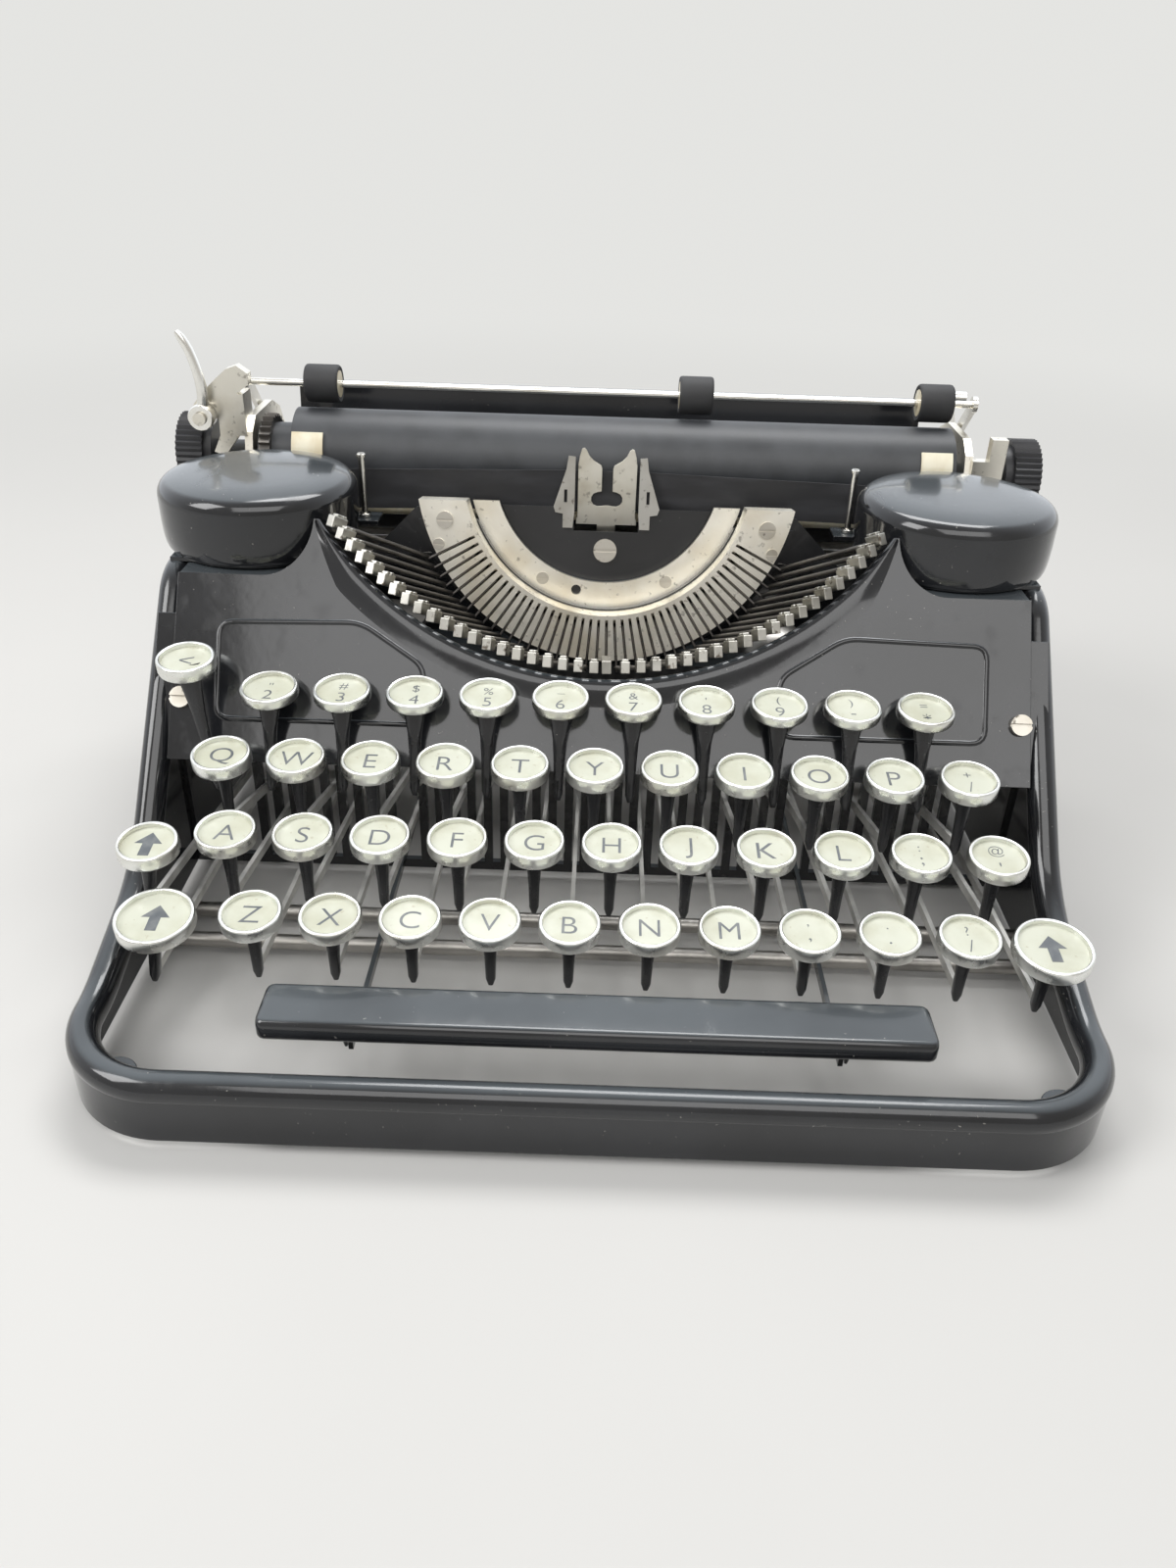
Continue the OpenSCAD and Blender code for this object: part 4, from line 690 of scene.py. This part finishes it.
struck.plate([tuple(p) for p in foot], BAR_T, plane, 1)
tip = ROOT + Vector((0, BAR_REACH))
across = Vector((-(tip - ELBOW)[1], (tip - ELBOW)[0])).normalized() * 1.2
struck.plate([ELBOW + across, tip + across, tip - across, ELBOW - across], BAR_T, plane, 1)
at_tip = plane @ Matrix.Translation((tip[0], tip[1], 0))
struck.block((-2.4, -SLUG_L / 2, -1.4), (1.4, SLUG_L / 2, 1.4), 0, at_tip)
struck.set_down("struck_typebar", "striking_typebar_body", [slug_steel, bar_steel],
                ["striking_typebar"], edge=0.28)
dress(dark_rubber, "type_rest")

# Each key is a bright nickel ring crimped round a cream card with a clear glossy cover. It
# stands on a black tapered stem that is riveted to a thin steel lever, and all the levers
# hang on one fulcrum rod. The cards carry plain letters and figures.
FULCRUM = Vector((45.0, 12.0))
LEVER_T, LEVER_H, HUB_R = 1.2, 2.6, 5.0
KEY_TILT = 7.5
KEY_D = 15.75
KEY_H, SHORT_KEY_H = 4.1, 3.2
NUMBER_ROW = 3
PITCH = 20.0
KEY_MIDDLE = 1.5
ROW_Y = [-93.0, -74.2, -55.4, -38.7]
ROW_Z = [40.0, 51.8, 63.6, 75.4]
END_Y = [-93.0, -74.2, -55.4, -46.5]
END_Z = [22.0, 31.3, 42.1, 50.0]

card = Finish("key_card", Coat_Weight=0.35, Coat_Roughness=0.12, IOR=1.4)
w = card.wire
aged = w.noise(120.0, 4.0).between(0.35, 0.75)
spots = w.noise(700.0, 3.0).between(0.66, 0.74) * 0.5
cream = w.mixed(aged, (0.58, 0.59, 0.49, 1.0), (0.5, 0.5, 0.39, 1.0))
card.feed("Base Color", w.mixed(spots, cream, (0.38, 0.33, 0.22, 1.0)))
card.feed("Roughness", 0.3 + 0.2 * aged)
ink = Finish("legend_ink", Coat_Weight=0.35, Coat_Roughness=0.12, IOR=1.4)
faded = ink.wire.noise(260.0, 3.0).between(0.3, 0.8)
ink.feed("Base Color", ink.wire.mixed(faded, (0.09, 0.1, 0.11, 1.0), (0.2, 0.21, 0.21, 1.0)))
ink.feed("Roughness", 0.35 + 0.2 * faded)
stem_black = enamelled("stem_black", (0.012, 0.012, 0.013, 1.0), specks=0.3, gloss=0.22)
lever_steel = bare_steel("lever_steel", (0.86, 0.85, 0.81, 1.0), 0.38, (6.0, 1.0, 6.0), metal=0.5)
ring_nickel = plated("ring_nickel", (0.86, 0.87, 0.84, 1.0), (0.7, 0.69, 0.64, 1.0), 0.2)
KEY_FINISHES = [ring_nickel, card.material, ink.material, stem_black, lever_steel]

CARD_LOW = -1.4


def printed(key, text, size, at, place):
    """One legend, lying on the card."""
    curve = bpy.data.curves.new("legend", "FONT")
    curve.body = text
    curve.size = size
    curve.align_x = "CENTER"
    curve.align_y = "CENTER"
    curve.extrude = 0.02
    curve.offset = 0.0 if text == "K" else -0.008 * size
    holder = bpy.data.objects.new("legend", curve)
    shape = bpy.data.meshes.new_from_object(holder)
    middle = (min(v.co.y for v in shape.vertices) + max(v.co.y for v in shape.vertices)) / 2
    across = (min(v.co.x for v in shape.vertices) + max(v.co.x for v in shape.vertices)) / 2
    corners = []
    for v in shape.vertices:
        x, y = v.co.x - across + at[0], v.co.y - middle + at[1]
        corners.append((x, y, CARD_LOW + 0.02 + v.co.z))
    key.add(corners, [list(p.vertices) for p in shape.polygons], 2, place)
    bpy.data.objects.remove(holder)
    bpy.data.curves.remove(curve)
    bpy.data.meshes.remove(shape)


def add_key_top(key, place, d, legends, tall=KEY_H):
    """Ring, card and legends, with the local Z axis out of the key's face."""
    r = d / 2
    ring = [(0, -tall), (r - 0.6, -tall), (r - 0.15, 0.25 - tall), (r, 0.7 - tall), (r, -0.6),
            (r - 0.1, -0.25), (r - 0.4, -0.02), (r - 0.75, -0.02), (r - 1.0, -0.2), (r - 1.1, -0.55),
            (r - 1.1, -1.6), (0, -1.6)]
    key.turned(ring, place, 0, 56)
    key.turned([(0, -1.55), (r - 1.05, -1.55), (r - 1.05, CARD_LOW), (0, CARD_LOW)], place, 1, 40)
    for text, size, at in legends:
        if text == "arrow":
            tip = [(0, 4.6), (3.6, 0.4), (1.4, 0.4), (1.4, -4.2), (-1.4, -4.2), (-1.4, 0.4), (-3.6, 0.4)]
            key.plate(tip, 0.04, place @ Matrix.Translation((0, 0, CARD_LOW + 0.02)), 2)
        else:
            printed(key, text, size, at, place)


def add_lever(key, x, end, mark=4):
    """Thin bar from the fulcrum hub to the key's end."""
    along = (end - FULCRUM).normalized()
    up = Vector((-along[1], along[0])) * LEVER_H / 2
    if up[1] < 0:
        up = -up
    tip = end - along * 0.5
    hub = math.degrees(math.atan2(along[1], along[0]))
    reach = math.degrees(math.asin(LEVER_H / 2 / HUB_R))
    outline = bend(FULCRUM, HUB_R, hub + reach, hub + 360 - reach, 30)
    ends = sorted((tip - up, tip + up), key=lambda p: (outline[-1] - p).length)
    key.plate([tuple(p) for p in outline + ends], LEVER_T, side_on(x), mark)


def add_stem(key, top, foot):
    """Black stem, broad under the ring and tapering down to the lever's end."""
    lean = math.atan2(top[1] - foot[1], top[2] - foot[2])
    side = math.atan2(top[0] - foot[0], top[2] - foot[2])
    h = math.hypot(top[2] - foot[2], top[1] - foot[1]) / math.cos(side)
    place = Matrix.Translation(foot) @ Matrix.Rotation(-lean, 4, "X") @ Matrix.Rotation(side, 4, "Y")
    levels = ((-3.0, 0.7, 0.9), (-1.0, 1.3, 1.2), (0.3 * h, 1.5, 1.2), (0.55 * h, 1.9, 1.25),
              (0.75 * h, 2.8, 1.4), (h - 2.4, 4.0, 1.7))
    sides = 16
    corners = []
    for z, wide, deep in levels:
        for k in range(sides):
            turn = 2 * math.pi * (k + 0.5) / sides
            c, s = math.cos(turn), math.sin(turn)
            x, y = math.copysign(abs(c) ** 0.6, c), math.copysign(abs(s) ** 0.6, s)
            corners.append((wide * x, deep * y, z))
    faces = [list(range(sides - 1, -1, -1))]
    for i in range(len(levels) - 1):
        a, b = sides * i, sides * (i + 1)
        faces += [[a + k, a + (k + 1) % sides, b + (k + 1) % sides, b + k] for k in range(sides)]
    faces.append([sides * (len(levels) - 1) + k for k in range(sides)])
    key.add(corners, faces, 3, place)


def add_key(key, x, row, legends):
    """One key of a row with its ring, stem and lever."""
    add_lever(key, x, Vector((END_Y[row], END_Z[row])))
    add_stem(key, Vector((x, ROW_Y[row], ROW_Z[row])), Vector((x, END_Y[row], END_Z[row])))
    tall = SHORT_KEY_H if row == NUMBER_ROW else KEY_H
    add_key_top(key, spot(x, ROW_Y[row], ROW_Z[row], KEY_TILT), KEY_D, legends, tall)


def lever_x(n):
    return KEY_MIDDLE + (n + 0.5) * PITCH / 4


def letter(text):
    return [(text, 8.6, (0, 0))]


def pair(low, high):
    return [(low, 6.0, (0, -2.3)), (high, 4.4, (0, 2.7))]


home_row = [letter(t) for t in "ASDFGHJKL"] + [pair(";", ":"), pair("'", "@")]
for i, legends in enumerate(home_row):
    key = Piece()
    add_key(key, lever_x(4 * i - 20), 1, legends)
    node = "home_key_%02d" % (i + 1)
    key.set_down(node + "_top", node + "_body", KEY_FINISHES, [node])
number_row = [pair(low, high) for low, high in zip("23456789-*", "\"#$%_&'()=")]
upper_row = [letter(t) for t in "QWERTYUIOP"] + [pair("/", "+")]
lower_row = [letter(t) for t in "ZXCVBNM"] + [pair(",", ","), pair(".", "."), pair("/", "?")]
for name, first, row, legends in (("number_row_keys", -19, NUMBER_ROW, number_row),
                                  ("upper_row_keys", -21, 2, upper_row),
                                  ("lower_row_keys", -18, 0, lower_row)):
    keys = Piece()
    for i, text in enumerate(legends):
        add_key(keys, lever_x(first + 4 * i), row, text)
    keys.set_down(name + "_tops", name + "_body", KEY_FINISHES, [name])

# The two shift keys are larger and are joined by a cross bar behind the fulcrum, so that
# either one lifts the platen. The lock key and the back space key stand alone at the left.
SHIFT_D = 19.7
SHIFT_X = (-111.5, 113.5)
SHIFT_Y = -96.0
shift = Piece()
for x, side in zip(SHIFT_X, (2.5, 0.5)):
    add_lever(shift, x, Vector((SHIFT_Y, END_Z[0])))
    add_stem(shift, Vector((x + side, SHIFT_Y, 40.0)), Vector((x, SHIFT_Y, END_Z[0])))
    add_key_top(shift, spot(x + side, SHIFT_Y, 40.0, KEY_TILT), SHIFT_D, [("arrow", 0, (0, 0))])
    near, away = FULCRUM[0] + 4, FULCRUM[0] + 12
    shift.plate([(near, 10.4), (away, 11.8), (away, 16.2), (near, 14.9)], LEVER_T, side_on(x), 4)
shift.rod([(SHIFT_X[0], 57, 14), (SHIFT_X[1], 57, 14)], 2.0, 4, 20)
shift.set_down("shift_key_pair", "shift_keys_body", KEY_FINISHES, ["shift_keys"])
lock = Piece()
lock_top = Vector((-115.0, ROW_Y[1] - 4.5, ROW_Z[1] - 1.6))
lock_foot = Vector((-117.0, ROW_Y[1] - 4.5, END_Z[1] - 1))
add_lever(lock, lock_foot[0], Vector((lock_foot[1], lock_foot[2])))
add_stem(lock, lock_top, lock_foot)
add_key_top(lock, spot(*lock_top, KEY_TILT), KEY_D, [("arrow", 0, (0, 0))])
lock.set_down("shift_lock_top", "shift_lock_key_body", KEY_FINISHES, ["shift_lock_key"])
back = Piece()
back_foot = Vector((lever_x(-22) - 0.5, END_Y[3], END_Z[3]))
back_top = Vector((back_foot[0] - 6.4, ROW_Y[3] + 0.5, ROW_Z[3] + 7.8))
add_lever(back, back_foot[0], Vector((back_foot[1], back_foot[2])))
add_stem(back, back_top, back_foot)
add_key_top(back, spot(*back_top, KEY_TILT), KEY_D, [("<", 8.0, (0, 0))])
back.set_down("back_space_top", "back_space_key_body", KEY_FINISHES, ["back_space_key"])

# The levers pass through a slotted comb that keeps them upright, and run over two
# cross rods. The rods are plain steel and the comb is black.
dress(oiled_steel, "lever_rods")
dress(stem_black, "key_comb")

# The space bar is a long bar of black enamelled wood and steel with rounded edges. Two
# levers carry it, and a pointed stud hangs below each end.
SPACE_Y, SPACE_Z, SPACE_D, SPACE_T, SPACE_L = -123.0, 24.5, 15.0, 6.0, 160.0
bar = Piece()
soft = 1.8
outline = bend((SPACE_Y + soft, SPACE_Z + soft), soft, 180, 270, 6)
outline += bend((SPACE_Y + SPACE_D - soft, SPACE_Z + soft), soft, 270, 360, 6)
outline += bend((SPACE_Y + SPACE_D - soft, SPACE_Z + SPACE_T - soft), soft, 0, 90, 6)
outline += bend((SPACE_Y + soft, SPACE_Z + SPACE_T - soft), soft, 90, 180, 6)
middle = Vector((SPACE_Y + SPACE_D / 2, SPACE_Z + SPACE_T / 2))
stations = [(0.0, 0.8), (0.35, 0.9), (1.0, 0.97), (1.9, 1.0)]
half_l = SPACE_L / 2
stations = ([(KEY_MIDDLE - half_l + a, f) for a, f in stations]
            + [(KEY_MIDDLE + half_l - a, f) for a, f in reversed(stations)])
corners = [(x, *(middle + f * (p - middle))) for x, f in stations for p in outline]
n = len(outline)
faces = [list(range(n - 1, -1, -1)), [n * (len(stations) - 1) + k for k in range(n)]]
faces += [[n * i + k, n * i + (k + 1) % n, n * i + n + (k + 1) % n, n * i + n + k]
          for i in range(len(stations) - 1) for k in range(n)]
bar.add(corners, faces, 0)
for s in (-1, 1):
    x = KEY_MIDDLE + s * 3 * PITCH
    riser = Vector((SPACE_Y + SPACE_D - 4, SPACE_Z - 8.7))
    add_lever(bar, x, riser, 1)
    upright = [(-2, -LEVER_H / 2), (2, -LEVER_H / 2), (2, 11 - LEVER_H / 2), (-2, 11 - LEVER_H / 2)]
    bar.plate([riser + Vector(p) for p in upright], LEVER_T, side_on(x), 1)
    bar.turned([(0, -5), (0.4, -4.9), (1.7, 0.6), (0, 0.6)], spot(x, SPACE_Y + 5, SPACE_Z), 0, 24)
bar.set_down("space_bar_top", "space_bar_body", [black_enamel, stem_black], ["space_bar"],
             sharp=50.0)

# The carriage runs on two steel rods across the back. Its truck, rack and end plates carry
# everything that moves with the paper.
dress(oiled_steel, "carriage_rails", "carriage_truck", "carriage_rack")
dress(old_nickel, "platen_frame")

# The platen is a tube of hard grey-black rubber on a steel shaft, polished by the paper. A
# ribbed black knob is fixed on each end, and a ratchet wheel inside the left plate.
platen_rubber = moulded("platen_rubber", (0.034, 0.036, 0.039, 1.0), 0.36, 1400.0)
dress(platen_rubber, "platen")
knob_black = moulded("knob_black", (0.018, 0.018, 0.02, 1.0), 0.32, 1800.0)
dress(knob_black, "platen_knobs")
dress(bar_steel, "ratchet_wheel")
dress(dark_rubber, "feed_roller")

# The line space lever is a curved nickel finger at the left end, on a round hub.
# It is forged, tapers to its tip and is bright where the hand pushes it.
LEVER_PIN, LEVER_Y = Vector((-129.2, 124.5)), 51.0
lever = Piece()
hub_place = spot(LEVER_PIN[0], LEVER_Y + 2.7, LEVER_PIN[1], 90)
hub_profile = [(2.05, 0), (3.7, 0), (4.0, 0.4), (4.0, 5.0), (3.7, 5.4), (2.05, 5.4)]
lever.turned(hub_profile, hub_place, 0, 40, hollow=True)
sweep = [(0.4, 3.0), (0.8, 5.0), (1.0, 7.0), (0.9, 9.6), (0.6, 12.0), (0.1, 14.8), (-0.6, 17.5),
         (-1.4, 20.0), (-2.3, 22.0), (-3.4, 24.0), (-4.5, 25.6)]
lever.rod([(LEVER_PIN[0] + x, LEVER_Y, LEVER_PIN[1] + z) for x, z in sweep],
          [1.75, 1.78, 1.75, 1.7, 1.65, 1.6, 1.55, 1.5, 1.45, 1.35, 0.9], 0, 16, up=Vector((0, 1, 0)))
lever.set_down("line_space_finger", "line_space_lever_body", [bright_nickel],
               ["line_space_lever"])

# Behind the platen stands the paper table, a black enamelled sheet, left bare. Two ivory
# coloured fingers curve round the platen's ends and hold the sheet down.
dress(black_enamel, "paper_table")
ivory = Finish("ivory_celluloid", Coat_Weight=0.5, Coat_Roughness=0.1, IOR=1.5)
w = ivory.wire
grain = w.noise(180.0, 4.0, (1.0, 1.0, 0.15))
ivory.feed("Base Color", w.mixed(grain.between(0.35, 0.7), (0.82, 0.76, 0.58, 1.0), (0.7, 0.6, 0.4, 1.0)))
ivory.feed("Roughness", 0.28 + 0.2 * grain)
dress(ivory.material, "paper_fingers")

# The paper bail is a nickelled rod on two arms, with three rubber rollers whose ends are
# closed by pale metal washers. It swings back to let the sheet in.
dress(bright_nickel, "paper_bail", "paper_release_lever")
ROLLER_R, ROLLER_W, ROLLER_X = 6.0, 11.0, (-94, 28, 106)
ROD_Y, ROD_Z = 70.0, 131.7
rollers = Piece()
lying = Matrix.Rotation(math.radians(90), 4, "Y")
for x in ROLLER_X:
    place = Matrix.Translation((x - ROLLER_W / 2, ROD_Y, ROD_Z)) @ lying
    tyre = [(4.1, 0.3), (5.5, 0.0), (5.9, 0.4), (ROLLER_R, 1.0), (ROLLER_R, ROLLER_W - 1.0),
            (5.9, ROLLER_W - 0.4), (5.5, ROLLER_W), (4.1, ROLLER_W - 0.3)]
    washers = [(1.2, 0.1), (4.2, 0.1), (4.2, ROLLER_W - 0.1), (1.2, ROLLER_W - 0.1)]
    rollers.turned(tyre, place, 0, 40, hollow=True)
    rollers.turned(washers, place, 1, 32, hollow=True)
rollers.set_down("bail_roller_set", "bail_rollers_body", [dark_rubber, ivory.material],
                 ["bail_rollers"])

# At the rear the mainspring drum pulls the carriage, the escapement wheel lets it step, and
# a small steel bell rings near the end of a line.
dress(oiled_steel, "mainspring_drum", "escapement_wheel", "bell")

# A plain pale floor, soft lamps and a camera where the machine was looked at from, a
# little above the keyboard and close to it.
BACKDROP = (0.78, 0.78, 0.76, 1.0)
floor_finish = Finish("pale_floor", IOR=1.0, Emission_Strength=1.0)
w = floor_finish.wire
tone = w.noise(6.0, 3.0)
place = w.make("ShaderNodeTexCoord", out=3)
far = w.make("ShaderNodeVectorMath", {"operation": "LENGTH"}, {0: place}, out=1).between(0.15, 1.0)
near_colour = w.mixed(tone, (0.6, 0.59, 0.57, 1.0), (0.64, 0.63, 0.61, 1.0))
floor_finish.feed("Base Color", w.mixed(far, near_colour, grey(0.0)))
floor_finish.feed("Emission Color", w.mixed(far, grey(0.0), BACKDROP))
floor_finish.feed("Roughness", 0.5 + 0.1 * tone)
floor_mesh = bpy.data.meshes.new("floor")
floor_mesh.from_pydata([(-6, -6, 0), (6, -6, 0), (6, 6, 0), (-6, 6, 0)], [], [[0, 1, 2, 3]])
floor_mesh.materials.append(floor_finish.material)
floor = bpy.data.objects.new("floor", floor_mesh)
bpy.context.scene.collection.objects.link(floor)
floor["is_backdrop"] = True

world = bpy.data.worlds.new("studio")
bpy.context.scene.world = world
world.use_nodes = True
sky = Wire(world.node_tree)
seen = sky.make("ShaderNodeLightPath", out=0)
mirrored = sky.make("ShaderNodeLightPath", out=3)
facing = sky.make("ShaderNodeTexCoord", out=0)
back_side = sky.make("ShaderNodeSeparateXYZ", None, {"Vector": facing}, out=1).between(-0.6, 0.7)
room = sky.mixed(back_side, (0.5, 0.48, 0.45, 1.0), (1.2, 1.25, 1.32, 1.0))
shade = sky.mixed(mirrored, (0.34, 0.35, 0.36, 1.0), room)
shade = sky.mixed(seen, shade, BACKDROP)
background = world.node_tree.nodes["Background"]
world.node_tree.links.new(shade.socket, background.inputs["Color"])

for name, place, aim, size, power in (("window", (-0.9, -0.4, 0.9), (0, 0, 0.05), (0.5, 0.7), 8.0),
                                      ("ceiling", (0.1, 0.4, 1.1), (0, 0, 0.05), (0.8, 0.4), 8.0),
                                      ("front box", (0.1, -1.0, 1.15), (0, -0.05, 0.05), (1.3, 0.8), 9.0)):
    lamp = bpy.data.lights.new(name, "AREA")
    lamp.shape = "RECTANGLE"
    lamp.size, lamp.size_y = size
    lamp.energy = power
    holder = bpy.data.objects.new(name, lamp)
    holder.location = place
    holder.rotation_mode = "QUATERNION"
    holder.rotation_quaternion = (Vector(aim) - Vector(place)).to_track_quat("-Z", "Y")
    bpy.context.scene.collection.objects.link(holder)

EYE = Vector((-1.6, -326.3, 221.2)) * MM
YAW, PITCH_DOWN, ROLL = math.radians(-0.23), math.radians(31.15), math.radians(-1.84)
heading = Vector((math.sin(YAW), math.cos(YAW), 0))
ahead = math.cos(PITCH_DOWN) * heading - Vector((0, 0, math.sin(PITCH_DOWN)))
level = Vector((math.cos(YAW), -math.sin(YAW), 0))
below = ahead.cross(level)
right = math.cos(ROLL) * level + math.sin(ROLL) * below
down = -math.sin(ROLL) * level + math.cos(ROLL) * below
lens = bpy.data.cameras.new("camera")
lens.lens = 27.0
lens.sensor_width = 36.0
lens.clip_start = 0.01
camera = bpy.data.objects.new("camera", lens)
turn = Matrix((right, -down, -ahead)).transposed()
camera.matrix_world = Matrix.Translation(EYE) @ turn.to_4x4()
bpy.context.scene.collection.objects.link(camera)
bpy.context.scene.camera = camera
bpy.context.scene.view_settings.view_transform = "Standard"

low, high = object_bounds()
